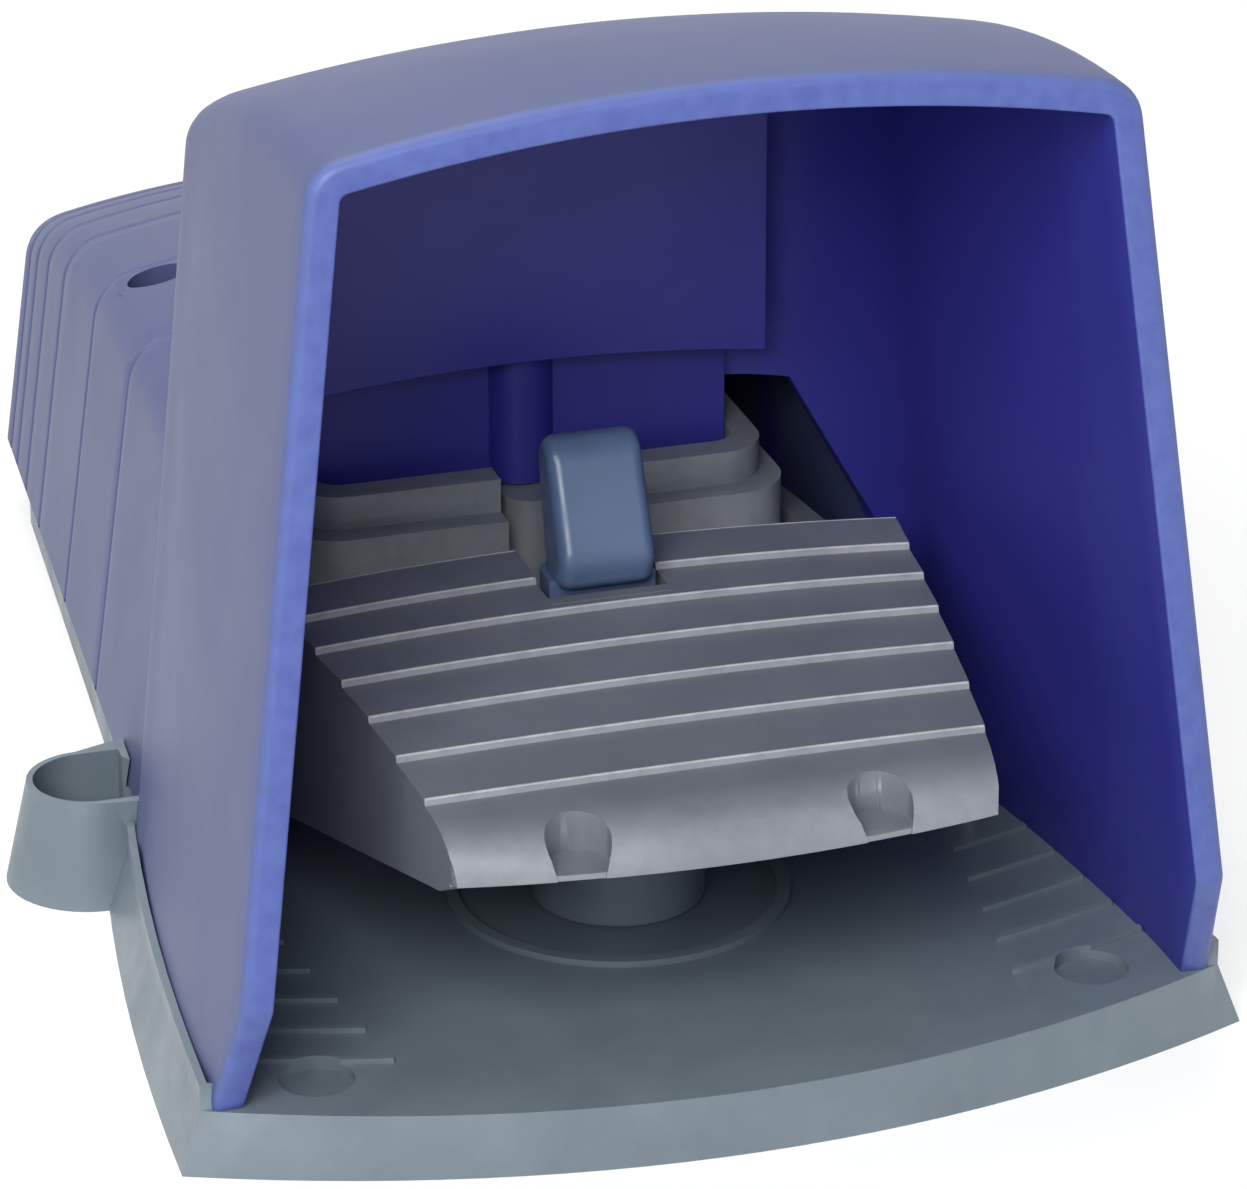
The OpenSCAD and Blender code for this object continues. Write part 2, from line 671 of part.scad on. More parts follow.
// Plan of one side wall, from the nose to the arm at the pivot
module flank_plan() {
  w = pedal_half;
  v = pedal_half + pedal_flare;
  a = arm_in;
  polygon([[w, -1], [v, tread_length], [v, tread_length + 3], [a + arm_t, tread_length + 16],
           [a + arm_t, pivot_y + arm_r], [a, pivot_y + arm_r], [a, tread_length + 15],
           [v - pedal_t, tread_length + 1], [w - pedal_t, -1]]);
}

module flank_side() {
  n = 8;
  polygon(concat([[-1, nose_z - 0.5], [2.8, nose_z - 2.8], [76.4, 20.3], [pivot_y, pivot_z - arm_r],
                  [pivot_y, pivot_z + arm_r], [tread_length + 16, tread_z - 8]],
                 [for (i = [n : -1 : 0]) let (y = 3 + (tread_length - 2) * i / n)
                   [y, tread(y) - step_h - 0.8]]));
  translate([pivot_y, pivot_z]) circle(arm_r);
}

module pedal() place() color(grey) difference() {
  union() {
    intersection() {
      difference() {
        skin([for (x = slices) tread_section(x, nose_z)]);
        skin([for (x = slices) under_section(x * 1.02, nose_z - 2)]);
      }
      linear_extrude(100) tread_plan();
    }
    both() intersection() {
      linear_extrude(100) flank_plan();
      side_plate(0, 100) flank_side();
    }
    // the ring that meets the stop, and the seat of the return spring between two cheeks
    translate([0, pillar_y, 0]) difference() {
      low = pillar_z + ring_t + stop_gap;
      translate([0, 0, low]) cylinder(d = pillar_d, h = tread(pillar_y - pillar_d / 2) - 1.5 - low);
      cylinder(r = pillar_d / 2 - pillar_wall, h = 60);
    }
    translate([0, pillar_y, seat_z]) cylinder(r = seat_r, h = seat_t);
    block([-seat_r * 0.7, pillar_y - seat_r * 0.7, seat_z],
          [seat_r * 0.7, latch_y - slot_lead - 0.5, tread(pillar_y) - 2]);
    both() block([slot_half, latch_y - cheek_half, latch_axis_z - cheek_half],
                 [slot_half + cheek_t, latch_y + cheek_half, tread(latch_y) - 1.5]);
    intersection() {
      both() translate([notch_pitch / 2, notch_y, 0]) cylinder(r = notch_d / 2 + 1.8, h = 100);
      skin([for (x = slices) tread_section(x, nose_z)]);
    }
  }
  block([-slot_half, latch_y - slot_lead, seat_z + seat_t + gap], [slot_half, 100, 100]);
  both() translate([notch_pitch / 2, notch_y, 0]) cylinder(d = notch_d, h = 100);
  rod(shaft_r + seat, -100, 100, pivot_y, pivot_z);
  rod(latch_pin_d / 2 + seat, -20, 20, latch_y, latch_axis_z);
}

module pivot_shaft() place() color(steel) difference() {
  rod(shaft_r, -shaft_half, shaft_half, pivot_y, pivot_z);
  both() difference() {
    rod(shaft_r + 1, arm_in + arm_t + 0.6, arm_in + arm_t + 0.6 + clip_t, pivot_y, pivot_z);
    rod(shaft_r - 0.7, 0, 100, pivot_y, pivot_z);
  }
  translate([0, pivot_y, pivot_z - 20]) cylinder(r = 1.5 + seat, h = 40);
}

module shaft_clips() place() color(steel) both() difference() {
  rod(shaft_r + 2.6, arm_in + arm_t + 0.7, arm_in + arm_t + 0.5 + clip_t, pivot_y, pivot_z);
  rod(shaft_r - 0.65, 0, 100, pivot_y, pivot_z);
  block([0, pivot_y - 2.4, pivot_z - 20], [100, pivot_y + 2.4, pivot_z]);
}

module rocker() place() color(steel) difference() {
  union() {
    rod(8, -12, 12, pivot_y, pivot_z);
    side_plate(-12, 12) polygon([[pivot_y, pivot_z + 8], [pivot_y, pivot_z - 8],
      [pivot_y + rocker_reach, pivot_z - tip_r], [pivot_y + rocker_reach, pivot_z + tip_r]]);
    rod(tip_r, -block_pitch / 2 - 4, block_pitch / 2 + 4, pivot_y + rocker_reach, pivot_z);
  }
  rod(shaft_r + seat, -100, 100, pivot_y, pivot_z);
  translate([0, pivot_y, pivot_z - 20]) cylinder(r = 1.5 + seat, h = 40);
}

module rocker_pin() place() color(steel) translate([0, pivot_y, pivot_z - 8])
  cylinder(r = 1.5, h = 16);

module return_spring() place() color(steel) {
  low = floor_z + 3;
  translate([0, pillar_y, low + wire_d / 2])
    coil(spring_d / 2 - wire_d / 2, wire_d, (seat_z - low - wire_d - 0.4) / turns, turns);
}

// ---- toe latch -----------------------------------------------------------------------------

module latch_lever() place() color("steelblue") difference() {
  r = 3;
  w = latch_w / 2;
  union() {
    hull() for (x = [r - w, w - r], p = [[latch_y - 2.5, latch_axis_z + 8],
                [latch_y - 5.5 + latch_t, latch_axis_z + 8], [latch_y + 1.5, latch_z - r],
                [latch_y - 4.5 + latch_t, latch_z - r - 0.6]])
      translate([x, p[0], p[1]]) sphere(r, $fn = 32);
    rod(5, -w, w - 5.4, latch_y, latch_axis_z);
    side_plate(-w + 0.4, w - 5.4) polygon([[latch_y - 4.6, latch_axis_z + 1],
      [latch_y + 4.6, latch_axis_z - 1], [latch_y + 4.6, latch_axis_z + 9],
      [latch_y - 4.6, latch_axis_z + 9]]);
    translate([0, latch_y, latch_axis_z]) side_plate(-4, 2)
      polygon([[0, -5], [4, 2], [17, -5], [19.5, -9], [14, -9], [10, -4.5]]);
  }
  rod(latch_pin_d / 2 + shaft_clear, -20, 20, latch_y, latch_axis_z);
}

module latch_pin() place() color(steel)
  rod(latch_pin_d / 2, -slot_half - cheek_t, slot_half + cheek_t, latch_y, latch_axis_z);

module latch_spring() place() color(steel)
  translate([latch_w / 2 - 4.6, latch_y, latch_axis_z]) rotate([0, 90, 0])
    coil(latch_pin_d / 2 + 1.3, 0.9, 1.05, 3.5, 12);

// ---- switching -----------------------------------------------------------------------------

module contact_block() difference() {
  block([-block_w / 2, block_y, block_z], [block_w / 2, block_y + block_l, block_z + block_h]);
  for (x = [-block_w / 4, block_w / 4], y = [block_y + 16, block_y + block_l - 7])
    translate([x, y, block_z + block_h - 4]) cylinder(r = 3.4, h = 10);
  for (y = [block_y + 10, block_y + block_l - 13])
    block([-block_w, y, block_z + block_h - 1.5], [block_w, y + 1, block_z + block_h + 1]);
  translate([0, pivot_y + rocker_reach, block_z - 1]) cylinder(d = plunger_d + 0.2, h = 12.5);
}

module contact_block_left() place() color("ivory") translate([-block_pitch / 2, 0, 0])
  contact_block();
module contact_block_right() place() color("ivory") translate([block_pitch / 2, 0, 0])
  contact_block();

module terminal_screws() place() color(steel)
  for (s = [-1, 1], x = [-block_w / 4, block_w / 4], y = [block_y + 16, block_y + block_l - 7])
    translate([s * block_pitch / 2 + x, y, block_z + block_h - 4]) difference() {
      cylinder(r = 3, h = 2);
      block([-4, -0.4, 1.2], [4, 0.4, 3]);
    }

module contact_plungers() place() color("crimson")
  both() translate([block_pitch / 2, pivot_y + rocker_reach, pivot_z + tip_r + gap])
    cylinder(d = plunger_d, h = 12);

module contact_carrier() place() color(steel) {
  w = block_pitch / 2 + block_w / 2 + 4;
  rear = block_y + block_l + 4;
  difference() {
    block([-w, block_y - 3, carrier_z], [w, rear, block_z]);
    both() translate([block_pitch / 2, pivot_y + rocker_reach, carrier_z - 1])
      cylinder(d = plunger_d + 1, h = 5);
  }
  both() difference() {
    union() {
      block([w - carrier_t, block_y + 12, tray_floor], [w, rear, carrier_z + eps]);
      block([w - 9, block_y + 12, tray_floor], [w, rear, tray_floor + carrier_t]);
    }
    for (y = [block_y + 18, rear - 6]) translate([w - 5.2, y, 0]) cylinder(r = 1.8, h = 20);
  }
}

module carrier_screws() place() color(steel) {
  x = block_pitch / 2 + block_w / 2 - 1.2;
  both() for (y = [block_y + 18, block_y + block_l - 2])
    translate([x, y, 0]) pan_screw(1.5, 2.8, 1.5 - eps, tray_floor + carrier_t);
}

module earth_terminal() place() color("gold") translate([0, 226, tray_floor]) {
  cylinder(r = 4, h = 6);
  translate([0, 0, 6]) cylinder(r = 3.4, h = 2.4);
}

// ---- cable entries -------------------------------------------------------------------------

module at_entry(y) translate([entry_pitch / 2, y, entry_z]) rotate([-90, 0, 0]) children();

module blanking_plug() place() color("black") {
  at_entry(base_length - bulkhead_t - 7) cylinder(d = entry_d - 0.5, h = bulkhead_t + 7 + 2);
  at_entry(base_length + 1) difference() {
    cylinder(d = entry_d + 4.5, h = 2.5);
    translate([-5, -0.8, 1.5]) cube([10, 1.6, 2]);
  }
}

module plug_seal() place() color("dimgray") at_entry(base_length) difference() {
  cylinder(d = entry_d + 3.5, h = 1);
  translate([0, 0, -1]) cylinder(d = entry_d - 0.4, h = 3);
}

module plug_nut() place() color("black") at_entry(base_length - bulkhead_t - 5) difference() {
  cylinder(d = entry_d + 6, h = 5, $fn = 6);
  translate([0, 0, -1]) cylinder(d = entry_d - 0.46, h = 8);
}

base_plate();
rubber_pads();
pivot_housing();
hood();
front_housing();
rear_cover();
cover_gasket();
spring_pillar();
stop_ring();
pivot_bushes();
contact_carrier();
carrier_screws();
contact_block_left();
contact_block_right();
terminal_screws();
earth_terminal();
blanking_plug();
plug_seal();
plug_nut();
cover_screws();
hood_screws();
return_spring();
pedal();
pivot_shaft();
shaft_clips();
rocker();
rocker_pin();
latch_pin();
latch_spring();
latch_lever();
contact_plungers();
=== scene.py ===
"""Visual model of a hooded industrial foot switch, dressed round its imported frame."""

import logging
import math
from dataclasses import dataclass
from enum import Enum
from typing import Callable, Iterable, Sequence

import bmesh
import bpy
import numpy as np
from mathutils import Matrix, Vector

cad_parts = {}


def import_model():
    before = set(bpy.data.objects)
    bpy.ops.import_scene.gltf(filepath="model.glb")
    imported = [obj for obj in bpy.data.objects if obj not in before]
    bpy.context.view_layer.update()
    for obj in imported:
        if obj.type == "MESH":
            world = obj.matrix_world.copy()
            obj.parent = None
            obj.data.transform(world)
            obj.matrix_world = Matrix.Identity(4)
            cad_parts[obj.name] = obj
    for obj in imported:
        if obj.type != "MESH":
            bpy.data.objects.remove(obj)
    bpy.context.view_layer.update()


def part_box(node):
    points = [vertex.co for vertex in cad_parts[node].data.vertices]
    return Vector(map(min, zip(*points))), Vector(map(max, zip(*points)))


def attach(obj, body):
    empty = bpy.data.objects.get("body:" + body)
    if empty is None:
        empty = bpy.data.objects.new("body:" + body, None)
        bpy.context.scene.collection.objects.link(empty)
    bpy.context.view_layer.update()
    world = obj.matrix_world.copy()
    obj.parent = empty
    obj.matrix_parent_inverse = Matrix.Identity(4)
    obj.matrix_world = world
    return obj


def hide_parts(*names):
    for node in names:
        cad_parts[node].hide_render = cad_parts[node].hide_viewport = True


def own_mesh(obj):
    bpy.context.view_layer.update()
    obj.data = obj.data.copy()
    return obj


LOG = logging.getLogger("foot_switch")
MM = 0.001
CRUMB: float = 2.5  # millimetres

Point = tuple[float, float, float]
Flat = tuple[float, float]
Ring = list[Point]


# ---- colours and finishes -------------------------------------------------------------------


def colour(red: int, green: int, blue: int) -> tuple[float, float, float, float]:
    """Turn a display colour into the linear colour that a shader takes.

    Args:
        red: Red, 0 to 255.
        green: Green, 0 to 255.
        blue: Blue, 0 to 255.

    Returns:
        Linear red, green, blue and full opacity.
    """
    linear = [
        c / 12.92 if c <= 0.04045 else ((c + 0.055) / 1.055) ** 2.4
        for c in (red / 255, green / 255, blue / 255)
    ]
    return (linear[0], linear[1], linear[2], 1.0)


class Slot(Enum):
    """The record's material slots."""

    BASE = "base_polymer"
    HOOD = "hood_polymer"
    PEDAL = "pedal_polymer"
    LATCH = "latch_polymer"
    RUBBER = "black_rubber"
    BLACK = "black_polymer"
    IVORY = "ivory_polymer"
    RED = "red_polymer"
    STEEL = "zinc_steel"
    SPRING = "spring_steel"
    BRASS = "bearing_brass"


@dataclass(frozen=True)
class Finish:
    """One surface finish: a shader with mottling, fine grain, rubbed high spots and painted light on
    marked places.

    Sizes of patterns are given as their pitch in millimetres.
    """

    name: str
    slot: Slot
    tone: tuple[float, float, float, float]
    shade: tuple[float, float, float, float]
    roughness: float = 0.5
    roughness_spread: float = 0.08
    metallic: float = 0.0
    mottle_mm: float = 30.0
    grain_mm: float = 0.6
    grain_depth: float = 0.12
    # share of the pale tone: rubbed wear, and painted highlights or lit faces where so marked
    scuff_and_light: float = 0.0
    scuff_and_light_tone: tuple[float, float, float, float] = (0.6, 0.6, 0.62, 1.0)
    # tone of the painted sheen, a greyish lift that stands in for a reflection
    painted_sheen_tone: tuple[float, float, float, float] | None = None
    stretch: Point = (1.0, 1.0, 1.0)
    specular: float = 0.5
    sheen: float = 0.0

    def material(self) -> bpy.types.Material:
        """Build the finish, or give back the one already built.

        Returns:
            The material of this finish.
        """
        found = bpy.data.materials.get(self.name)
        if found is not None:
            return found
        material = bpy.data.materials.new(self.name)
        material.use_nodes = True
        tree = material.node_tree
        tree.nodes.clear()
        shader = tree.nodes.new("ShaderNodeBsdfPrincipled")
        output = tree.nodes.new("ShaderNodeOutputMaterial")
        tree.links.new(shader.outputs["BSDF"], output.inputs["Surface"])
        shader.inputs["Metallic"].default_value = self.metallic
        shader.inputs["Specular IOR Level"].default_value = self.specular
        shader.inputs["Sheen Weight"].default_value = self.sheen
        shader.inputs["Sheen Roughness"].default_value = 0.5
        place = tree.nodes.new("ShaderNodeTexCoord").outputs["Object"]
        if self.stretch != (1.0, 1.0, 1.0):
            mapping = tree.nodes.new("ShaderNodeMapping")
            mapping.inputs["Scale"].default_value = self.stretch
            tree.links.new(place, mapping.inputs["Vector"])
            place = mapping.outputs["Vector"]
        self._colour(tree, shader, place)
        self._roughness(tree, shader, place)
        self._grain(tree, shader, place)
        return material

    def _noise(self, tree: bpy.types.NodeTree, place: bpy.types.NodeSocket, pitch_mm: float,
               detail: float) -> bpy.types.NodeSocket:
        """Add a noise of a given pitch and return its value."""
        noise = tree.nodes.new("ShaderNodeTexNoise")
        noise.inputs["Scale"].default_value = 1.0 / (pitch_mm * MM)
        noise.inputs["Detail"].default_value = detail
        noise.inputs["Roughness"].default_value = 0.55
        tree.links.new(place, noise.inputs["Vector"])
        return noise.outputs["Fac"]

    def _ramp(self, tree: bpy.types.NodeTree, value: bpy.types.NodeSocket, low: float, high: float,
              to_low: float, to_high: float) -> bpy.types.NodeSocket:
        """Map a value from one range to another and return the result."""
        node = tree.nodes.new("ShaderNodeMapRange")
        for socket, number in zip(("From Min", "From Max", "To Min", "To Max"),
                                  (low, high, to_low, to_high)):
            node.inputs[socket].default_value = number
        tree.links.new(value, node.inputs["Value"])
        return node.outputs["Result"]

    def _mix(self, tree: bpy.types.NodeTree, amount: bpy.types.NodeSocket, first, second
             ) -> bpy.types.NodeSocket:
        """Mix two colours, each a socket or four numbers, and return the result."""
        node = tree.nodes.new("ShaderNodeMix")
        node.data_type = "RGBA"
        tree.links.new(amount, node.inputs[0])
        for socket, value in ((node.inputs[6], first), (node.inputs[7], second)):
            if isinstance(value, bpy.types.NodeSocket):
                tree.links.new(value, socket)
            else:
                socket.default_value = value
        return node.outputs[2]

    def _colour(self, tree: bpy.types.NodeTree, shader: bpy.types.Node,
                place: bpy.types.NodeSocket) -> None:
        """Drive the base colour: mottled, speckled, given a painted sheen where marked, and pale on
        the marked places as rubbed wear or painted highlight.
        """
        cloud = self._ramp(tree, self._noise(tree, place, self.mottle_mm, 3.0), 0.3, 0.7, 0.0, 1.0)
        mixed = self._mix(tree, cloud, self.tone, self.shade)
        speckle = self._ramp(tree, self._noise(tree, place, self.grain_mm, 2.0), 0.52, 0.8, 0.0, 0.4)
        mixed = self._mix(tree, speckle, mixed, self.shade)
        # painted sheen: mix towards a greyish tone by the skin share, standing in for the reflection
        # off the outside
        if self.painted_sheen_tone is not None:
            skin = tree.nodes.new("ShaderNodeAttribute")
            skin.attribute_name = "skin"
            mixed = self._mix(tree, skin.outputs["Fac"], mixed, self.painted_sheen_tone)
        # pale tone on marked places: rubbed wear on some pieces, painted highlights and lit faces on
        # others
        if self.scuff_and_light > 0:
            wear = tree.nodes.new("ShaderNodeAttribute")
            wear.attribute_name = "wear"
            patch = self._ramp(tree, self._noise(tree, place, 3.0, 6.0), 0.3, 0.6, 0.6, 1.0)
            rub_and_light = tree.nodes.new("ShaderNodeMath")
            rub_and_light.operation = "MULTIPLY"
            tree.links.new(wear.outputs["Fac"], rub_and_light.inputs[0])
            tree.links.new(patch, rub_and_light.inputs[1])
            amount = self._ramp(tree, rub_and_light.outputs["Value"], 0.0, 1.0, 0.0, self.scuff_and_light)
            mixed = self._mix(tree, amount, mixed, self.scuff_and_light_tone)
        tree.links.new(mixed, shader.inputs["Base Color"])

    def _roughness(self, tree: bpy.types.NodeTree, shader: bpy.types.Node,
                   place: bpy.types.NodeSocket) -> None:
        """Drive the roughness with a slow noise."""
        value = self._ramp(tree, self._noise(tree, place, self.mottle_mm * 0.4, 4.0), 0.3, 0.7,
                           self.roughness - self.roughness_spread,
                           self.roughness + self.roughness_spread)
        tree.links.new(value, shader.inputs["Roughness"])

    def _grain(self, tree: bpy.types.NodeTree, shader: bpy.types.Node,
               place: bpy.types.NodeSocket) -> None:
        """Give the surface its fine moulded grain."""
        bump = tree.nodes.new("ShaderNodeBump")
        bump.inputs["Strength"].default_value = self.grain_depth
        bump.inputs["Distance"].default_value = 0.15 * MM
        tree.links.new(self._noise(tree, place, self.grain_mm, 3.0), bump.inputs["Height"])
        tree.links.new(bump.outputs["Normal"], shader.inputs["Normal"])


# The pale tone is painted light on the front-facing rim of the mouth; the greyish tone is a painted
# sheen on the outside.
HOOD_BLUE = Finish("hood_blue", Slot.HOOD, colour(42, 42, 134), colour(40, 40, 128),
                   roughness=0.5, roughness_spread=0.03, grain_mm=0.7, grain_depth=0.2,
                   mottle_mm=60, scuff_and_light=1.0, scuff_and_light_tone=colour(70, 86, 148),
                   painted_sheen_tone=colour(62, 70, 108))
BASE_GREY = Finish("base_grey", Slot.BASE, colour(98, 110, 118), colour(86, 99, 107),
                   roughness=0.42, grain_mm=0.5, grain_depth=0.12, mottle_mm=22,
                   scuff_and_light=0.35, scuff_and_light_tone=colour(170, 178, 184))
# The pale tone is rubbed wear and painted highlight on the nose, step fronts and step edges.
PEDAL_GREY = Finish("pedal_grey", Slot.PEDAL, colour(106, 110, 117), colour(96, 101, 108),
                    roughness=0.42, roughness_spread=0.05, grain_mm=0.45, grain_depth=0.12,
                    mottle_mm=14, scuff_and_light=0.55, scuff_and_light_tone=colour(206, 206, 210))
# The base grey again, with its pale tone painted as highlights along the collar's edges.
COLLAR_GREY_HIGHLIT = Finish("collar_grey", Slot.BASE, colour(104, 110, 114), colour(92, 99, 104),
                     roughness=0.42, grain_mm=0.5, grain_depth=0.12, mottle_mm=16,
                     scuff_and_light=0.3, scuff_and_light_tone=colour(206, 208, 214))
LATCH_BLUE = Finish("latch_blue_grey", Slot.LATCH, colour(76, 94, 124), colour(70, 88, 116),
                    roughness=0.36, grain_mm=0.4, grain_depth=0.06, mottle_mm=9)
RUBBER = Finish("black_rubber", Slot.RUBBER, colour(38, 38, 40), colour(30, 30, 32),
                roughness=0.75, grain_mm=0.4, grain_depth=0.3, mottle_mm=6)
BLACK = Finish("black_plastic", Slot.BLACK, colour(36, 37, 40), colour(28, 29, 32),
               roughness=0.45, grain_mm=0.35, grain_depth=0.1, mottle_mm=8)
IVORY = Finish("ivory_plastic", Slot.IVORY, colour(214, 208, 186), colour(204, 197, 174),
               roughness=0.45, grain_mm=0.4, grain_depth=0.08, mottle_mm=9)
RED = Finish("red_plastic", Slot.RED, colour(168, 38, 36), colour(150, 32, 30),
             roughness=0.4, grain_mm=0.3, grain_depth=0.06, mottle_mm=5)
ZINC = Finish("zinc_plate", Slot.STEEL, colour(186, 190, 194), colour(160, 166, 172),
              roughness=0.34, metallic=1.0, grain_mm=0.25, grain_depth=0.1, mottle_mm=3)
SPRING = Finish("spring_wire", Slot.SPRING, colour(150, 152, 156), colour(124, 127, 132),
                roughness=0.3, metallic=1.0, grain_mm=0.3, grain_depth=0.15, mottle_mm=4,
                stretch=(1.0, 1.0, 4.0))
BRASS = Finish("bearing_brass", Slot.BRASS, colour(196, 158, 92), colour(168, 132, 74),
               roughness=0.32, metallic=1.0, grain_mm=0.3, grain_depth=0.1, mottle_mm=4,
               stretch=(4.0, 1.0, 1.0))


# ---- meshes ---------------------------------------------------------------------------------


@dataclass(frozen=True)
class Datum:
    """Where the workshop frame lies: millimetres, y = 0 at the base's front corners."""

    front_y: float
    front_bow: float = 17.3

    @classmethod
    def from_frame(cls) -> "Datum":
        """Find the front corners from the base's box."""
        return cls(front_y=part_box("base_plate")[0].y + cls.front_bow * MM)

    def place(self, point: Sequence[float]) -> Point:
        """Turn a workshop point into metres in the part's frame."""
        return (point[0] * MM, point[1] * MM + self.front_y, point[2] * MM)


def mesh_from(name: str, points: Iterable[Sequence[float]], faces: Iterable[Sequence[int]],
              datum: Datum, sharp_deg: float = 35.0) -> bpy.types.Object:
    """Make an object from workshop points and faces, with outward normals.

    Args:
        name: Name of the object.
        points: Corners, in workshop millimetres.
        faces: Faces as lists of corner numbers.
        datum: Where the workshop frame lies.
        sharp_deg: Edges that turn more than this stay sharp.

    Returns:
        The new object, linked to the scene.
    """
    mesh = bpy.data.meshes.new(name)
    mesh.from_pydata([datum.place(p) for p in points], [], [list(f) for f in faces])
    obj = bpy.data.objects.new(name, mesh)
    bpy.context.scene.collection.objects.link(obj)
    tidy(obj, sharp_deg)
    return obj


def tidy(obj: bpy.types.Object, sharp_deg: float = 35.0, flatten_deg: float = 0.0) -> None:
    """Merge doubles, turn the faces outwards and set which edges stay sharp.

    Args:
        obj: The object to tidy.
        sharp_deg: Edges that turn more than this stay sharp.
        flatten_deg: Where it is above 0, faces that meet at less than this become one.
    """
    shape = bmesh.new()
    shape.from_mesh(obj.data)
    bmesh.ops.remove_doubles(shape, verts=shape.verts, dist=0.002 * MM)
    bmesh.ops.dissolve_degenerate(shape, edges=shape.edges, dist=0.002 * MM)
    if flatten_deg > 0:
        bmesh.ops.dissolve_limit(shape, angle_limit=math.radians(flatten_deg), verts=shape.verts,
                                 edges=shape.edges)
    bmesh.ops.recalc_face_normals(shape, faces=shape.faces)
    shape.to_mesh(obj.data)
    shape.free()
    obj.data.shade_smooth()
    obj.data.set_sharp_from_angle(angle=math.radians(sharp_deg))


def loft(name: str, rings: Sequence[Ring], datum: Datum, capped: bool = False,
         looped: bool = False, ring_closed: bool = True, sharp_deg: float = 35.0
         ) -> bpy.types.Object:
    """Skin a row of rings of equal length.

    Args:
        name: Name of the object.
        rings: The rings, in workshop millimetres.
        datum: Where the workshop frame lies.
        capped: Whether the first and last ring are filled.
        looped: Whether the last ring joins the first.
        ring_closed: Whether each ring is a closed loop.
        sharp_deg: Edges that turn more than this stay sharp.

    Returns:
        The new object.
    """
    size = len(rings[0])
    count = len(rings)
    faces: list[list[int]] = []
    for i in range(count if looped else count - 1):
        a, b = i * size, ((i + 1) % count) * size
        for j in range(size if ring_closed else size - 1):
            k = (j + 1) % size
            faces.append([a + j, a + k, b + k, b + j])
    if capped:
        faces.append(list(range(size)))
        faces.append([(count - 1) * size + j for j in reversed(range(size))])
    return mesh_from(name, [p for ring in rings for p in ring], faces, datum, sharp_deg)


def prism(name: str, outline: Sequence[Flat], low: float, high: float, axis: str, datum: Datum
          ) -> bpy.types.Object:
    """Extrude a flat outline.

    Args:
        name: Name of the object.
        outline: The corners, in the two axes that remain, in their usual order.
        low: Where it starts along the axis.
        high: Where it ends.
        axis: "x", "y" or "z".
        datum: Where the workshop frame lies.

    Returns:
        The new object.
    """
    turn: dict[str, Callable[[Flat, float], Point]] = {
        "x": lambda p, h: (h, p[0], p[1]),
        "y": lambda p, h: (p[0], h, p[1]),
        "z": lambda p, h: (p[0], p[1], h),
    }
    rings = [[turn[axis](p, h) for p in outline] for h in (low, high)]
    return loft(name, rings, datum, capped=True)


def circle(centre: Flat, radius: float, steps: int = 48) -> list[Flat]:
    """Points round a circle."""
    return [(centre[0] + radius * math.cos(2 * math.pi * i / steps),
             centre[1] + radius * math.sin(2 * math.pi * i / steps)) for i in range(steps)]


def carve(obj: bpy.types.Object, tools: Iterable[bpy.types.Object], operation: str = "DIFFERENCE"
          ) -> None:
    """Apply booleans with each tool and remove the tools.

    Args:
        obj: The object that is worked on.
        tools: The shapes to cut with, join on or keep within.
        operation: "DIFFERENCE", "UNION" or "INTERSECT".
    """
    for tool in tools:
        step = obj.modifiers.new("carve", "BOOLEAN")
        step.operation = operation
        step.object = tool
        step.solver = "EXACT"
        bake(obj)
        bpy.data.objects.remove(tool, do_unlink=True)


def bake(obj: bpy.types.Object) -> None:
    """Turn an object's modifiers into its mesh."""
    graph = bpy.context.evaluated_depsgraph_get()
    graph.update()
    mesh = bpy.data.meshes.new_from_object(obj.evaluated_get(graph), depsgraph=graph)
    old = obj.data
    obj.modifiers.clear()
    obj.data = mesh
    mesh.name = obj.name
    bpy.data.meshes.remove(old)


def soften(obj: bpy.types.Object, width: float, segments: int = 2, angle_deg: float = 40.0) -> None:
    """Round the sharp edges of an object.

    Args:
        obj: The object.
        width: Width of the rounding in millimetres.
        segments: How many faces the rounding has.
        angle_deg: Only edges that turn more than this are rounded.
    """
    bevel = obj.modifiers.new("rounding", "BEVEL")
    bevel.width = width * MM
    bevel.segments = segments
    bevel.limit_method = "ANGLE"
    bevel.angle_limit = math.radians(angle_deg)
    bevel.use_clamp_overlap = True
    bevel.miter_outer = "MITER_ARC"
    bevel.harden_normals = False
    bake(obj)


def drop_crumbs(obj: bpy.types.Object, least: float) -> None:
    """Delete the loose shells of an object that are hardly more than a speck.

    Args:
        obj: The object.
        least: Shells whose box is smaller than this on every side are deleted, in millimetres.
    """
    mesh = bmesh.new()
    mesh.from_mesh(obj.data)
    mesh.verts.ensure_lookup_table()
    seen: set[int] = set()
    crumbs: list[bmesh.types.BMVert] = []
    for start in mesh.verts:
        if start.index in seen:
            continue
        seen.add(start.index)
        shell, front = [start], [start]
        while front:
            for edge in front.pop().link_edges:
                for vert in edge.verts:
                    if vert.index not in seen:
                        seen.add(vert.index)
                        shell.append(vert)
                        front.append(vert)
        points = np.array([vert.co for vert in shell])
        if np.ptp(points, axis=0).max() < least * MM:
            crumbs += shell
    bmesh.ops.delete(mesh, geom=crumbs, context="VERTS")
    mesh.to_mesh(obj.data)
    mesh.free()


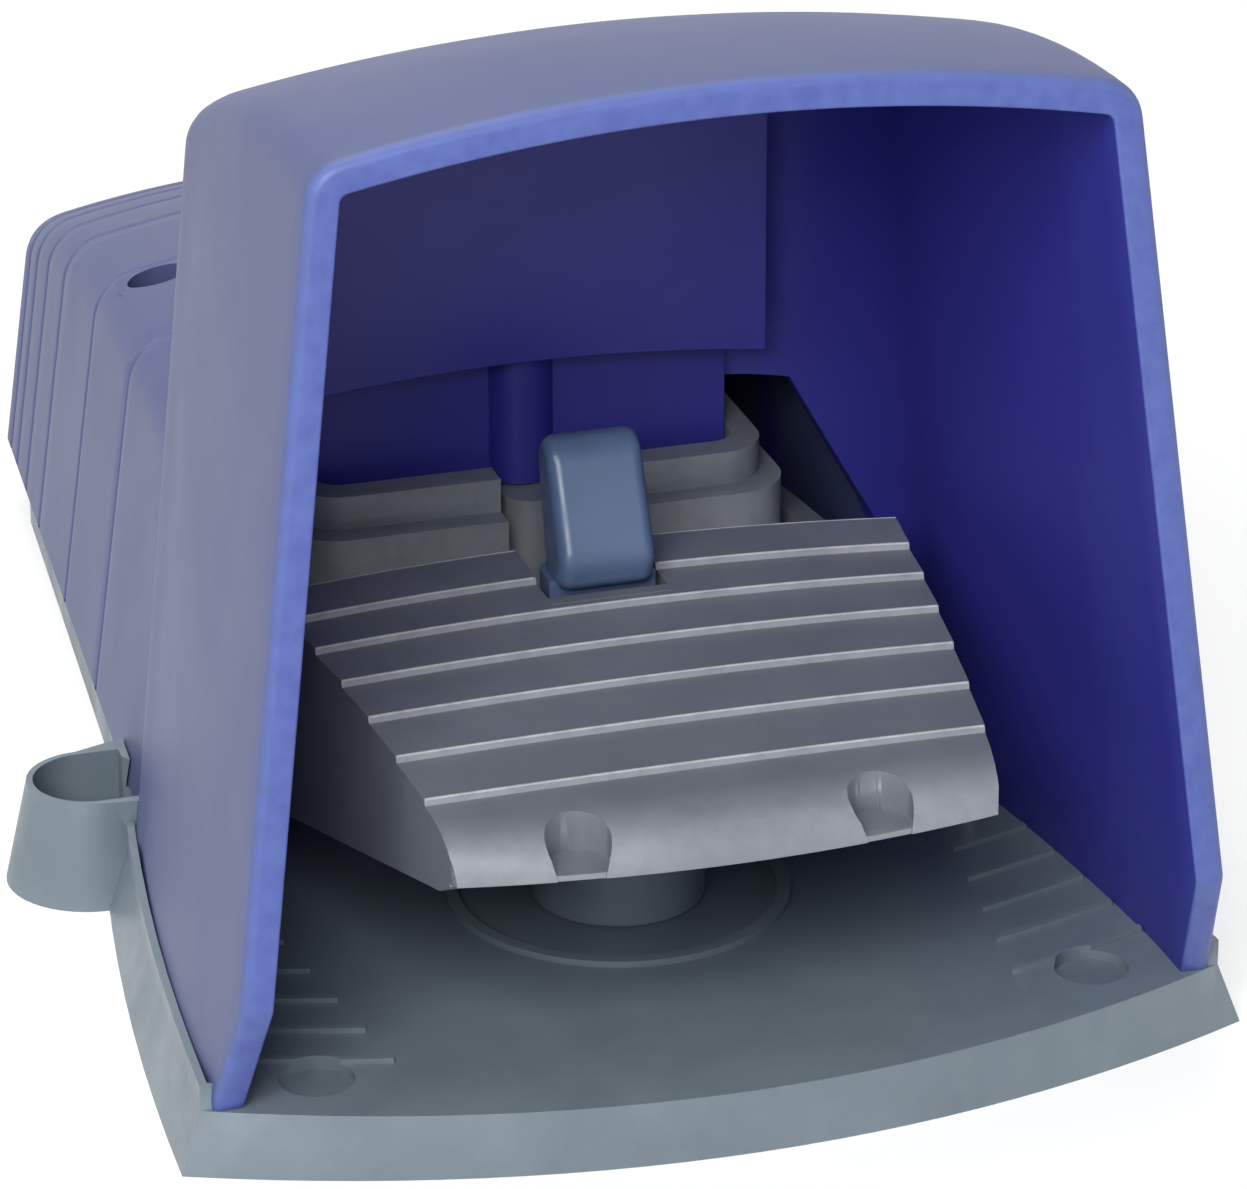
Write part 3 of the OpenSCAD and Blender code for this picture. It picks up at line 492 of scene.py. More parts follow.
def copy_of(node: str, width: float, segments: int = 2, sharp_deg: float = 32.0,
            flatten_deg: float = 0.4) -> bpy.types.Object:
    """Copy a CAD node's shape with its edges rounded.

    Args:
        node: The CAD node.
        width: Width of the rounding in millimetres.
        segments: How many faces the rounding has.
        sharp_deg: Edges that turn more than this are rounded.
        flatten_deg: Faces that turn less than this against each other are joined.

    Returns:
        A new object that can stand for the node.
    """
    source = bpy.data.objects[node]
    obj = bpy.data.objects.new(node + "_moulded", source.data.copy())
    obj.data.materials.clear()
    bpy.context.scene.collection.objects.link(obj)
    tidy(obj, sharp_deg, flatten_deg=flatten_deg)
    drop_crumbs(obj, CRUMB)
    soften(obj, width, segments, sharp_deg)
    even_out(obj, sharp_deg + 8)
    return obj


def even_out(obj: bpy.types.Object, sharp_deg: float) -> None:
    """Shade an object smoothly, with its large faces flat.

    Args:
        obj: The object.
        sharp_deg: Edges that turn more than this stay sharp.
    """
    obj.data.shade_smooth()
    obj.data.set_sharp_from_angle(angle=math.radians(sharp_deg))
    weigh = obj.modifiers.new("normals", "WEIGHTED_NORMAL")
    weigh.keep_sharp = True
    weigh.weight = 80
    bake(obj)


def mark(obj: bpy.types.Object, label: str,
         rule: Callable[[np.ndarray, np.ndarray], np.ndarray]) -> None:
    """Write a share for each corner, as an attribute that the finishes read.

    Args:
        obj: The object.
        label: Name of the attribute: the pale share for rubbed places and painted light, or "skin"
            for the painted sheen on the outside of the blue mouldings.
        rule: Takes the points in metres and their normals and returns a share from 0 to 1 each.
    """
    mesh = obj.data
    count = len(mesh.vertices)
    points = np.zeros(count * 3, np.float32)
    normals = np.zeros(count * 3, np.float32)
    mesh.vertices.foreach_get("co", points)
    mesh.vertices.foreach_get("normal", normals)
    share = np.clip(rule(points.reshape(-1, 3), normals.reshape(-1, 3)), 0, 1)
    layer = mesh.attributes.new(label, "FLOAT", "POINT")
    layer.data.foreach_set("value", share.astype(np.float32))


def edge_share(obj: bpy.types.Object, reach: float) -> np.ndarray:
    """Say how close each corner lies to a convex edge, as the mean turn of its edges.

    Args:
        obj: The object.
        reach: Turn in degrees that counts as a full share.

    Returns:
        A share from 0 to 1 for each corner.
    """
    shape = bmesh.new()
    shape.from_mesh(obj.data)
    share = np.zeros(len(shape.verts))
    for vert in shape.verts:
        turns = [e.calc_face_angle_signed(0.0) for e in vert.link_edges if e.is_manifold]
        if turns:
            share[vert.index] = max(turns) / math.radians(reach)
    shape.free()
    return np.clip(share, 0, 1)


def dress(obj: bpy.types.Object, finish: Finish, body: str, *nodes: str) -> bpy.types.Object:
    """Give a piece its finish, its body and the CAD nodes that it stands for.

    Args:
        obj: The piece.
        finish: Its finish.
        body: The body that it moves with.
        nodes: The CAD nodes that it replaces.

    Returns:
        The same piece.
    """
    obj.data.materials.clear()
    obj.data.materials.append(finish.material())
    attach(obj, body)
    if nodes:
        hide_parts(*nodes)
    LOG.info("%s rides on %s, %d faces", obj.name, body, len(obj.data.polygons))
    return obj


# ---- geometry nodes -------------------------------------------------------------------------


class Tree:
    """A geometry node tree under construction, with named sizes as its inputs."""

    def __init__(self, name: str, sizes: dict[str, float]) -> None:
        """Start a tree with a geometry input and one number for each size."""
        self.group = bpy.data.node_groups.new(name, "GeometryNodeTree")
        face = self.group.interface
        face.new_socket("Geometry", in_out="INPUT", socket_type="NodeSocketGeometry")
        for label, value in sizes.items():
            socket = face.new_socket(label, in_out="INPUT", socket_type="NodeSocketFloat")
            socket.default_value = value
        face.new_socket("Finish", in_out="INPUT", socket_type="NodeSocketMaterial")
        face.new_socket("Geometry", in_out="OUTPUT", socket_type="NodeSocketGeometry")
        self.inputs = self.group.nodes.new("NodeGroupInput")
        self.outputs = self.group.nodes.new("NodeGroupOutput")

    def add(self, kind: str, **settings: object) -> bpy.types.Node:
        """Add a node and set its properties."""
        node = self.group.nodes.new(kind)
        for key, value in settings.items():
            setattr(node, key, value)
        return node

    def link(self, source: bpy.types.NodeSocket, target: bpy.types.NodeSocket) -> None:
        """Join two sockets."""
        self.group.links.new(source, target)

    def size(self, label: str) -> bpy.types.NodeSocket:
        """Give the socket of a named size."""
        return self.inputs.outputs[label]

    def finish(self, geometry: bpy.types.NodeSocket) -> bpy.types.NodeTree:
        """End the tree: realise the instances and set their material."""
        real = self.add("GeometryNodeRealizeInstances")
        paint = self.add("GeometryNodeSetMaterial")
        self.link(geometry, real.inputs["Geometry"])
        self.link(real.outputs["Geometry"], paint.inputs["Geometry"])
        self.link(self.inputs.outputs["Finish"], paint.inputs["Material"])
        self.link(paint.outputs["Geometry"], self.outputs.inputs["Geometry"])
        return self.group


def grow(name: str, tree: bpy.types.NodeTree, points: Iterable[Point], chains: Iterable[Flat],
         sizes: dict[str, float], finish: Finish) -> bpy.types.Object:
    """Run a tree over points or chains and keep the result as a plain mesh.

    Args:
        name: Name of the new object.
        tree: The geometry node tree.
        points: The points that it works on, in metres.
        chains: Pairs of point numbers that are joined by edges.
        sizes: Values for the tree's inputs, by name.
        finish: The finish that the tree sets.

    Returns:
        The new object.
    """
    mesh = bpy.data.meshes.new(name)
    mesh.from_pydata(list(points), list(chains), [])
    obj = bpy.data.objects.new(name, mesh)
    bpy.context.scene.collection.objects.link(obj)
    modifier = obj.modifiers.new("grow", "NODES")
    modifier.node_group = tree
    values: dict[str, object] = {**sizes, "Finish": finish.material()}
    for item in tree.interface.items_tree:
        if item.in_out == "INPUT" and item.name in values:
            modifier[item.identifier] = values[item.name]
    bake(obj)
    obj.data.shade_smooth()
    obj.data.set_sharp_from_angle(angle=math.radians(40))
    return obj


def coil_tree() -> bpy.types.NodeTree:
    """Make the tree that winds a round wire into a spring about z, from its lowest point."""
    tree = Tree("coil", {"Radius": 0.009, "Wire": 0.002, "Height": 0.02, "Turns": 6.0})
    spiral = tree.add("GeometryNodeCurveSpiral")
    spiral.inputs["Resolution"].default_value = 40
    for socket, label in (("Start Radius", "Radius"), ("End Radius", "Radius"),
                          ("Height", "Height"), ("Rotations", "Turns")):
        tree.link(tree.size(label), spiral.inputs[socket])
    half = tree.add("ShaderNodeMath", operation="MULTIPLY")
    half.inputs[1].default_value = 0.5
    tree.link(tree.size("Wire"), half.inputs[0])
    section = tree.add("GeometryNodeCurvePrimitiveCircle")
    section.inputs["Resolution"].default_value = 14
    tree.link(half.outputs["Value"], section.inputs["Radius"])
    sweep = tree.add("GeometryNodeCurveToMesh")
    sweep.inputs["Fill Caps"].default_value = True
    tree.link(spiral.outputs["Curve"], sweep.inputs["Curve"])
    tree.link(section.outputs["Curve"], sweep.inputs["Profile Curve"])
    spots = tree.add("GeometryNodeInstanceOnPoints")
    tree.link(tree.inputs.outputs["Geometry"], spots.inputs["Points"])
    tree.link(sweep.outputs["Mesh"], spots.inputs["Instance"])
    return tree.finish(spots.outputs["Instances"])


def screw_tree() -> bpy.types.NodeTree:
    """Make the tree that sets a cross-slotted pan-head screw on each point, pointing down."""
    tree = Tree("pan_screw", {"Head": 0.004, "Rise": 0.0024, "Shank": 0.0018, "Length": 0.02,
                              "Slot": 0.001})
    shank = tree.add("GeometryNodeMeshCylinder")
    shank.inputs["Vertices"].default_value = 28
    tree.link(tree.size("Shank"), shank.inputs["Radius"])
    tree.link(tree.size("Length"), shank.inputs["Depth"])
    lower = tree.add("ShaderNodeMath", operation="MULTIPLY")
    lower.inputs[1].default_value = -0.5
    tree.link(tree.size("Length"), lower.inputs[0])
    down = tree.add("ShaderNodeCombineXYZ")
    tree.link(lower.outputs["Value"], down.inputs["Z"])
    sunk = tree.add("GeometryNodeTransform")
    tree.link(shank.outputs["Mesh"], sunk.inputs["Geometry"])
    tree.link(down.outputs["Vector"], sunk.inputs["Translation"])

    head = tree.add("GeometryNodeMeshUVSphere")
    head.inputs["Segments"].default_value = 36
    head.inputs["Rings"].default_value = 18
    tree.link(tree.size("Head"), head.inputs["Radius"])
    flat = tree.add("ShaderNodeMath", operation="DIVIDE")
    tree.link(tree.size("Rise"), flat.inputs[0])
    tree.link(tree.size("Head"), flat.inputs[1])
    squat = tree.add("ShaderNodeCombineXYZ")
    squat.inputs["X"].default_value = 1.0
    squat.inputs["Y"].default_value = 1.0
    tree.link(flat.outputs["Value"], squat.inputs["Z"])
    dome = tree.add("GeometryNodeTransform")
    tree.link(head.outputs["Mesh"], dome.inputs["Geometry"])
    tree.link(squat.outputs["Vector"], dome.inputs["Scale"])

    wide = tree.add("ShaderNodeMath", operation="MULTIPLY")
    wide.inputs[1].default_value = 1.25
    tree.link(tree.size("Head"), wide.inputs[0])
    bars = []
    for first, second in (("X", "Y"), ("Y", "X")):
        extent = tree.add("ShaderNodeCombineXYZ")
        tree.link(wide.outputs["Value"], extent.inputs[first])
        tree.link(tree.size("Slot"), extent.inputs[second])
        tree.link(tree.size("Rise"), extent.inputs["Z"])
        bar = tree.add("GeometryNodeMeshCube")
        tree.link(extent.outputs["Vector"], bar.inputs["Size"])
        bars.append(bar)
    up = tree.add("ShaderNodeCombineXYZ")
    tree.link(tree.size("Rise"), up.inputs["Z"])
    cross = tree.add("GeometryNodeJoinGeometry")
    for bar in bars:
        raised = tree.add("GeometryNodeTransform")
        tree.link(bar.outputs["Mesh"], raised.inputs["Geometry"])
        tree.link(up.outputs["Vector"], raised.inputs["Translation"])
        tree.link(raised.outputs["Geometry"], cross.inputs["Geometry"])

    below = tree.add("ShaderNodeMath", operation="MULTIPLY")
    below.inputs[1].default_value = 2.0
    tree.link(tree.size("Head"), below.inputs[0])
    block_size = tree.add("ShaderNodeCombineXYZ")
    double = tree.add("ShaderNodeMath", operation="MULTIPLY")
    double.inputs[1].default_value = 2.4
    tree.link(tree.size("Head"), double.inputs[0])
    for axis in "XYZ":
        tree.link(double.outputs["Value"], block_size.inputs[axis])
    block = tree.add("GeometryNodeMeshCube")
    tree.link(block_size.outputs["Vector"], block.inputs["Size"])
    drop = tree.add("ShaderNodeMath", operation="MULTIPLY")
    drop.inputs[1].default_value = -1.2
    tree.link(tree.size("Head"), drop.inputs[0])
    drop_by = tree.add("ShaderNodeCombineXYZ")
    tree.link(drop.outputs["Value"], drop_by.inputs["Z"])
    under = tree.add("GeometryNodeTransform")
    tree.link(block.outputs["Mesh"], under.inputs["Geometry"])
    tree.link(drop_by.outputs["Vector"], under.inputs["Translation"])

    cut = tree.add("GeometryNodeMeshBoolean", operation="DIFFERENCE")
    tree.link(dome.outputs["Geometry"], cut.inputs["Mesh 1"])
    tree.link(cross.outputs["Geometry"], cut.inputs["Mesh 2"])
    tree.link(under.outputs["Geometry"], cut.inputs["Mesh 2"])
    whole = tree.add("GeometryNodeMeshBoolean", operation="UNION")
    tree.link(cut.outputs["Mesh"], whole.inputs["Mesh 2"])
    tree.link(sunk.outputs["Geometry"], whole.inputs["Mesh 2"])
    spots = tree.add("GeometryNodeInstanceOnPoints")
    tree.link(tree.inputs.outputs["Geometry"], spots.inputs["Points"])
    tree.link(whole.outputs["Mesh"], spots.inputs["Instance"])
    return tree.finish(spots.outputs["Instances"])


def bead_tree() -> bpy.types.NodeTree:
    """Make the tree that runs a round bead along each chain of edges."""
    tree = Tree("bead", {"Radius": 0.0004})
    path = tree.add("GeometryNodeMeshToCurve")
    tree.link(tree.inputs.outputs["Geometry"], path.inputs["Mesh"])
    section = tree.add("GeometryNodeCurvePrimitiveCircle")
    section.inputs["Resolution"].default_value = 10
    tree.link(tree.size("Radius"), section.inputs["Radius"])
    sweep = tree.add("GeometryNodeCurveToMesh")
    sweep.inputs["Fill Caps"].default_value = True
    tree.link(path.outputs["Curve"], sweep.inputs["Curve"])
    tree.link(section.outputs["Curve"], sweep.inputs["Profile Curve"])
    return tree.finish(sweep.outputs["Mesh"])


# ---- arched shells --------------------------------------------------------------------------


def bend(a: Flat, c: Flat, b: Flat, t: float) -> Flat:
    """Point at t along the curve from a to b that leans towards c."""
    return tuple((1 - t) ** 2 * p + 2 * t * (1 - t) * q + t * t * r for p, q, r in zip(a, c, b))


def spread(start: float, end: float, count: int) -> list[float]:
    """Even steps from start to end, both included."""
    return [start + (end - start) * i / count for i in range(count + 1)]


@dataclass(frozen=True)
class Arch:
    """A section across a shell: leaning sides, rounded edges and a crowned roof."""

    half: float
    lean: float
    foot: float
    roof: float
    crown: float
    radius: float

    def half_outline(self, levels: Sequence[float]) -> list[Flat]:
        """Points from the right foot to the crown.

        Args:
            levels: Shares of the side's height at which it has points, from 0 to 1.

        Returns:
            Points as x and z.
        """
        x0 = self.half - self.lean * (self.roof - self.foot)
        x1 = x0 + self.lean * x0 * x0 / (2 * self.crown)
        xc = x0 + self.lean * x1 * x1 / (2 * self.crown)
        zc = self.fall(xc)
        side = (xc + self.lean * self.radius, zc - self.radius)
        top = (xc - self.radius, self.fall(xc - self.radius))
        foot = (self.half, self.foot)
        rise = [tuple(f + (s - f) * t for f, s in zip(foot, side)) for t in levels[:-1]]
        edge = [bend(side, (xc, zc), top, t) for t in spread(0, 1, 10)]
        roof = [(x, self.fall(x)) for x in spread(top[0], 0, 16)[1:]]
        return rise + edge + roof

    def fall(self, x: float) -> float:
        """Height of the roof at x."""
        return self.roof - x * x / (2 * self.crown)

    def outline(self, levels: Sequence[float]) -> list[Flat]:
        """Points from the left foot over the crown to the right foot."""
        right = self.half_outline(levels)
        return [(-x, z) for x, z in right] + list(reversed(right[:-1]))


def back_faces(size: int, start: int) -> list[list[int]]:
    """Quads that close the last ring of an arched shell, from left to right.

    Args:
        size: How many points the ring has.
        start: Number of the ring's first point.

    Returns:
        The faces.
    """
    faces = []
    for i in range((size - 1) // 2):
        a, b = start + i, start + i + 1
        c, d = start + size - 2 - i, start + size - 1 - i
        faces.append([a, b, c] if b == c else [a, b, c, d])
    return faces


def shell(name: str, outer: Sequence[Ring], inner: Sequence[Ring], datum: Datum
          ) -> bpy.types.Object:
    """Close an outer and an inner arched skin into one shell.

    Both start at the mouth and end at the back wall, and have rings of equal length. The last
    outer ring at the mouth meets the first inner one.

    Args:
        name: Name of the object.
        outer: Rings of the outer skin, from the back wall to the mouth.
        inner: Rings of the inner skin, from the mouth to the back wall.
        datum: Where the workshop frame lies.

    Returns:
        The new object.
    """
    rings = list(outer) + list(inner)
    size = len(rings[0])
    count = len(rings)
    faces = [[i * size + j, i * size + j + 1, (i + 1) * size + j + 1, (i + 1) * size + j]
             for i in range(count - 1) for j in range(size - 1)]
    faces += back_faces(size, 0)
    faces += back_faces(size, (count - 1) * size)
    left = [i * size for i in range(count)]
    right = [i * size + size - 1 for i in range(count)]
    half = count // 2
    for side in (left, right):
        for i in range(half):
            quad = [side[i], side[i + 1], side[count - 2 - i], side[count - 1 - i]]
            if len(set(quad)) == 4:
                faces.append(quad)
    faces.append([left[0], right[0], right[-1], left[-1]])
    return mesh_from(name, [p for ring in rings for p in ring], faces, datum)


@dataclass
class Hood:
    """The moulded guard over the pedal, with the housing panel that hangs in it."""

    datum: Datum
    height: float = 0.0
    foot: float = 9.1
    mouth_half: float = 75.4
    lean: float = 0.1177
    rake: float = 0.0643
    lead: float = 11.0
    side_y: float = 77.0
    corner_r: float = 34.0
    crown_r: float = 277.0
    fall_r: float = 168.0
    edge_r: float = 5.0
    wall: float = 4.75
    chin_low: Flat = (0.7, 9.1)
    chin_z: float = 28.5
    opening_half: float = 43.5
    opening_foot: float = 55.0
    opening_bend: float = 46.0
    opening_z: float = 68.0
    lip_r: float = 1.5

    def __post_init__(self) -> None:
        """Take the height from the frame."""
        self.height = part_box("hood")[1].z / MM

    def half_at(self, y: float, z: float) -> float:
        """Outer half-width at y and z."""
        narrowing = 0.044 * max(y, 0) + 0.000762 * max(y, 0) ** 2
        return (self.mouth_half - self.lean * (z - self.foot)
                - narrowing * (1 - 0.0025 * (z - self.foot)))

    def roof_at(self, y: float) -> float:
        """Height of the ridge line at y."""
        return self.height - max(y, 0) ** 2 / (2 * self.fall_r)

    def front_at(self, z: float) -> float:
        """Where the mouth lies at height z, sloping back below the chin."""
        y0, z0 = self.chin_low
        chin_y = self.rake * self.chin_z - self.lead
        if z > self.chin_z:
            return self.rake * z - self.lead
        return y0 + (chin_y - y0) * (z - z0) / (self.chin_z - z0)

    def levels(self) -> list[float]:
        """Shares of the side's height: close together at the chin."""
        reach = self.height - self.foot - 12
        below = spread(self.foot, self.chin_z - 1, 8)
        low = [(z - self.foot) / reach for z in below + [self.chin_z, self.chin_z + 1]]
        return low + spread(low[-1], 1, 22)[1:]

    def ring(self, u: float, shift: float, inset: float, foot: float) -> Ring:
        """A section from the mouth, u = 0, to where the rear corners begin, u = 1."""
        at = (u - 1) * self.lead + u * self.side_y + shift
        rake = (1 - u) * self.rake
        high = 120
        half = self.half_at(at + rake * foot, foot)
        lean = (half - self.half_at(at + rake * high, high)) / (high - foot)
        arch = Arch(half - inset, lean, foot, self.roof_at(at + rake * self.height) - inset,
                    self.crown_r, max(1.2, self.edge_r - inset))
        return [(x, u * self.side_y + (1 - u) * self.front_at(z) + shift, z)
                for x, z in arch.outline(self.levels())]

    def corner(self, degrees: float, inset: float, foot: float) -> Ring:
        """A section of the round rear corners."""
        r = self.corner_r - inset
        angle = math.radians(degrees)
        y = self.side_y + r * math.sin(angle)
        tuck = inset + r * (1 - math.cos(angle))
        half = self.half_at(self.side_y, foot)
        lean = (half - self.half_at(self.side_y, 120)) / (120 - foot)
        roof = self.roof_at(y) - inset - 0.35 * r * (1 - math.cos(angle))
        arch = Arch(half - tuck, lean, foot, roof, self.crown_r, max(1.2, self.edge_r - inset))
        return [(x, y, z) for x, z in arch.outline(self.levels())]

    def skin(self, inset: float, foot: float) -> list[Ring]:
        """Rings of one skin behind the lip, from the mouth to the back wall."""
        return ([self.ring(u, 0, inset, foot) for u in spread(0.08, 1, 12)]
                + [self.corner(a, inset, foot) for a in spread(6, 90, 14)])

    def solid(self, inset: float) -> bpy.types.Object:
        """The hood's whole volume, to cut other pieces with."""
        rings = [self.ring(0, 0, inset, 0.0)] + self.skin(inset, 0.0)
        return loft("hood_volume", rings, self.datum, capped=True)

    def lip(self) -> list[Ring]:
        """Rings round the rim of the mouth, from the outer skin to the inner one."""
        turns = [math.radians(a) for a in (0, 20, 45, 70, 90)]
        outer = [(self.lip_r * 1.4 * (1 - math.sin(t)), self.lip_r * (1 - math.cos(t)))
                 for t in turns]
        small = 0.5
        inner = [(small * (1 - math.cos(t)), self.wall - small * (1 - math.sin(t)))
                 for t in turns]
        return [self.ring(0, shift, inset, self.foot) for shift, inset in outer + inner]

    def build(self) -> bpy.types.Object:
        """Build the guard."""
        outer = list(reversed(self.skin(0, self.foot)))
        inner = self.skin(self.wall, self.foot)
        obj = shell("guard_hood", outer + self.lip(), inner, self.datum)
        right = [(self.opening_foot, -5.0), (self.opening_foot, self.opening_bend),
                 (self.opening_half, self.opening_z)]
        left = [(-x, z) for x, z in reversed(right)]
        way = prism("way", right + left, self.side_y + 10, self.side_y + self.corner_r + 5, "y",
                    self.datum)
        carve(obj, [way])
        tidy(obj, 30)
        return obj

    def dress(self) -> None:
        """Build the hood and the housing panel, and give them their finish."""
        obj = self.build()
        # painted light: the front-facing rim of the mouth is paled as if lit by the front lamp
        mark(obj, "wear", self.rim)
        # painted sheen: a greyish lift where the outside faces up, sideways or back
        mark(obj, "skin", self.painted_sheen)
        dress(obj, HOOD_BLUE, "base", "hood")
        panel = copy_of("front_housing", 0.5)
        dress(panel, HOOD_BLUE, "base", "front_housing")

    def rim(self, points: np.ndarray, normals: np.ndarray) -> np.ndarray:
        """Painted light on the rim of the mouth, which faces the front and so the front lamp."""
        y = (points[:, 1] - self.datum.front_y) / MM
        return np.where(y < 20, np.clip(-1.6 * normals[:, 1], 0, 1), 0)

    def painted_sheen(self, points: np.ndarray, normals: np.ndarray) -> np.ndarray:
        """Painted sheen on the grained outside: a greyish lift where the surface faces up or away
        from the hood's middle, and backwards behind y = 60.
        """
        away = normals[:, 0] * np.sign(points[:, 0]) + normals[:, 2]
        y = (points[:, 1] - self.datum.front_y) / MM
        return np.clip(2 * away + np.where(y > 60, 2 * normals[:, 1], 0), 0, 1)


@dataclass
class RearCover:
    """The cover over the switching parts, with the grooves that run round it."""

    datum: Datum
    hood: Hood
    half: float = 64.6
    taper: float = 0.085
    lean: float = 0.135
    foot: float = 12.1
    height: float = 78.2
    fall_r: float = 424.0
    crown_r: float = 178.0
    edge_r: float = 6.0
    wall: float = 3.0
    front_y: float = 86.0
    rear_y: float = 252.0
    groove_w: float = 1.8
    groove_d: float = 0.9
    grooves: tuple[float, ...] = (139.6, 175.5, 207.5, 224.0, 235.6, 243.4)
    screw: Flat = (41.0, 169.0)
    recess_r: float = 5.0
    recess_z: float = 46.0
    bulkhead_half: float = 38.3
    bulkhead_z: float = 46.3
    play: float = 0.3

    def roof_at(self, y: float) -> float:
        """Height of the ridge line at y."""
        return self.height - max(y - 115, 0) ** 2 / (2 * self.fall_r)

    def ring(self, y: float, inset: float, tuck: float = 0.0) -> Ring:
        """A section at y, drawn in by inset and tuck."""
        half = self.half - self.taper * (y - self.front_y) - inset - tuck
        arch = Arch(half, self.lean, self.foot, self.roof_at(y) - inset - tuck, self.crown_r,
                    max(1.5, self.edge_r - inset))
        return [(x, y, z) for x, z in arch.outline(spread(0, 1, 12))]

    def stations(self) -> list[Flat]:
        """Where the outer skin has its sections, and how far each is drawn in."""
        dip = [(-0.5, 0.0), (-0.38, 0.12), (-0.26, 0.5), (-0.12, 0.92), (0.0, 1.0), (0.12, 0.92),
               (0.26, 0.5), (0.38, 0.12), (0.5, 0.0)]
        grooved = [(g + self.groove_w * s, self.groove_d * d) for g in self.grooves for s, d in dip]
        plain = [(y, 0.0) for y in spread(self.front_y - 3, self.rear_y - 5, 40)
                 if all(abs(y - g) > self.groove_w for g in self.grooves)]
        turn = [(self.rear_y - 4.2 + 4.2 * math.sin(t), 3.2 * (1 - math.cos(t)))
                for t in spread(0, math.pi / 2, 8)]
        return sorted(grooved + plain) + turn

    def build(self) -> bpy.types.Object:
        """Build the cover."""
        outer = [self.ring(y, 0, tuck) for y, tuck in self.stations()]
        inner_y = spread(self.front_y - 3, self.rear_y - self.wall - 4, 20)
        turn = [(self.rear_y - self.wall - 4 + 4 * math.sin(t), 3 * (1 - math.cos(t)))
                for t in spread(0.3, math.pi / 2, 4)]
        inner = ([self.ring(y, self.wall) for y in inner_y]
                 + [self.ring(y, self.wall, tuck) for y, tuck in turn])
        obj = shell("cable_cover", list(reversed(outer)), inner, self.datum)
        x, y = self.screw
        posts = [prism("post", circle((s * x, y), 7), 40, self.roof_at(y) - 6.5, "z", self.datum)
                 for s in (-1, 1)]
        carve(obj, posts, "UNION")
        recesses = [prism("recess", circle((s * x, y), self.recess_r), self.recess_z, 100, "z",
                          self.datum) for s in (-1, 1)]
        holes = [prism("hole", circle((s * x, y), 2.3, 24), 0, 100, "z", self.datum)
                 for s in (-1, 1)]
        ahead = prism("ahead", [(-90, 0), (90, 0), (90, 120), (-90, 120)], 0, self.front_y, "y",
                      self.datum)
        gate = prism("gate", [(-self.bulkhead_half, 0), (self.bulkhead_half, 0),
                              (self.bulkhead_half, self.bulkhead_z),
                              (-self.bulkhead_half, self.bulkhead_z)],
                     self.rear_y - 22, self.rear_y + 10, "y", self.datum)
        carve(obj, [ahead, self.hood.solid(-self.play), gate] + recesses + holes)
        tidy(obj, 30)
        return obj

    def dress(self) -> None:
        """Build the cover and give it its finish."""
        obj = self.build()
        # painted sheen on the outside, fading in the grooves so that they show as painted shade
        mark(obj, "skin", self.painted_sheen)
        dress(obj, HOOD_BLUE, "base", "rear_cover")

    def painted_sheen(self, points: np.ndarray, normals: np.ndarray) -> np.ndarray:
        """Painted sheen on the outside, which fades in the grooves so that they show darker, as
        painted shade.
        """
        y = (points[:, 1] - self.datum.front_y) / MM
        away = np.min([np.abs(y - groove) for groove in self.grooves], axis=0)
        return np.clip(away / (0.4 * self.groove_w), 0.15, 1)


# ---- base -----------------------------------------------------------------------------------


@dataclass
class Base:
    """The moulded base plate and what stands on it."""

    datum: Datum

    def dress(self) -> None:
        """Round and finish the base, its collar, its pillar and its feet."""
        plate = copy_of("base_plate", 0.45, flatten_deg=0)
        mark(plate, "wear", lambda points, normals: 0.5 * edge_share(plate, 60))
        dress(plate, BASE_GREY, "base", "base_plate")
        collar = copy_of("pivot_housing", 0.5)
        # painted highlight: the collar's convex edges are paled as bright lit lines
        mark(collar, "wear", lambda points, normals: edge_share(collar, 45))
        dress(collar, COLLAR_GREY_HIGHLIT, "base", "pivot_housing")
        pillar = copy_of("spring_pillar", 0.6)
        mark(pillar, "wear", lambda points, normals: 0.4 * edge_share(pillar, 60))
        dress(pillar, BASE_GREY, "base", "spring_pillar")
        for node in ("rubber_pads", "stop_ring", "cover_gasket", "plug_seal"):
            carried(node, RUBBER)


@dataclass
class Switching:
    """The contact blocks with their plungers, carrier and terminals."""

    datum: Datum

    def dress(self) -> None:
        """Finish the switching parts."""
        for node in ("contact_block_left", "contact_block_right"):
            dress(copy_of(node, 0.4), IVORY, "base", node)
        carried("contact_carrier", ZINC)
        carried("carrier_screws", ZINC)
        carried("terminal_screws", ZINC)
        carried("earth_terminal", BRASS)
        carried("contact_plungers", RED)
        carried("hood_screws", ZINC)
        for node in ("blanking_plug", "plug_nut"):
            cap = copy_of(node, 0.4)
            dress(cap, BLACK, "base", node)


def carried(node: str, finish: Finish) -> None:
    """Give a CAD node that stays in view its finish.

    Args:
        node: The CAD node.
        finish: Its finish.
    """
    obj = bpy.data.objects[node]
    if not obj.material_slots:
        obj.data.materials.append(None)
    for slot in obj.material_slots:
        slot.material = finish.material()
    LOG.info("%s keeps its shape", node)


# ---- pedal ----------------------------------------------------------------------------------


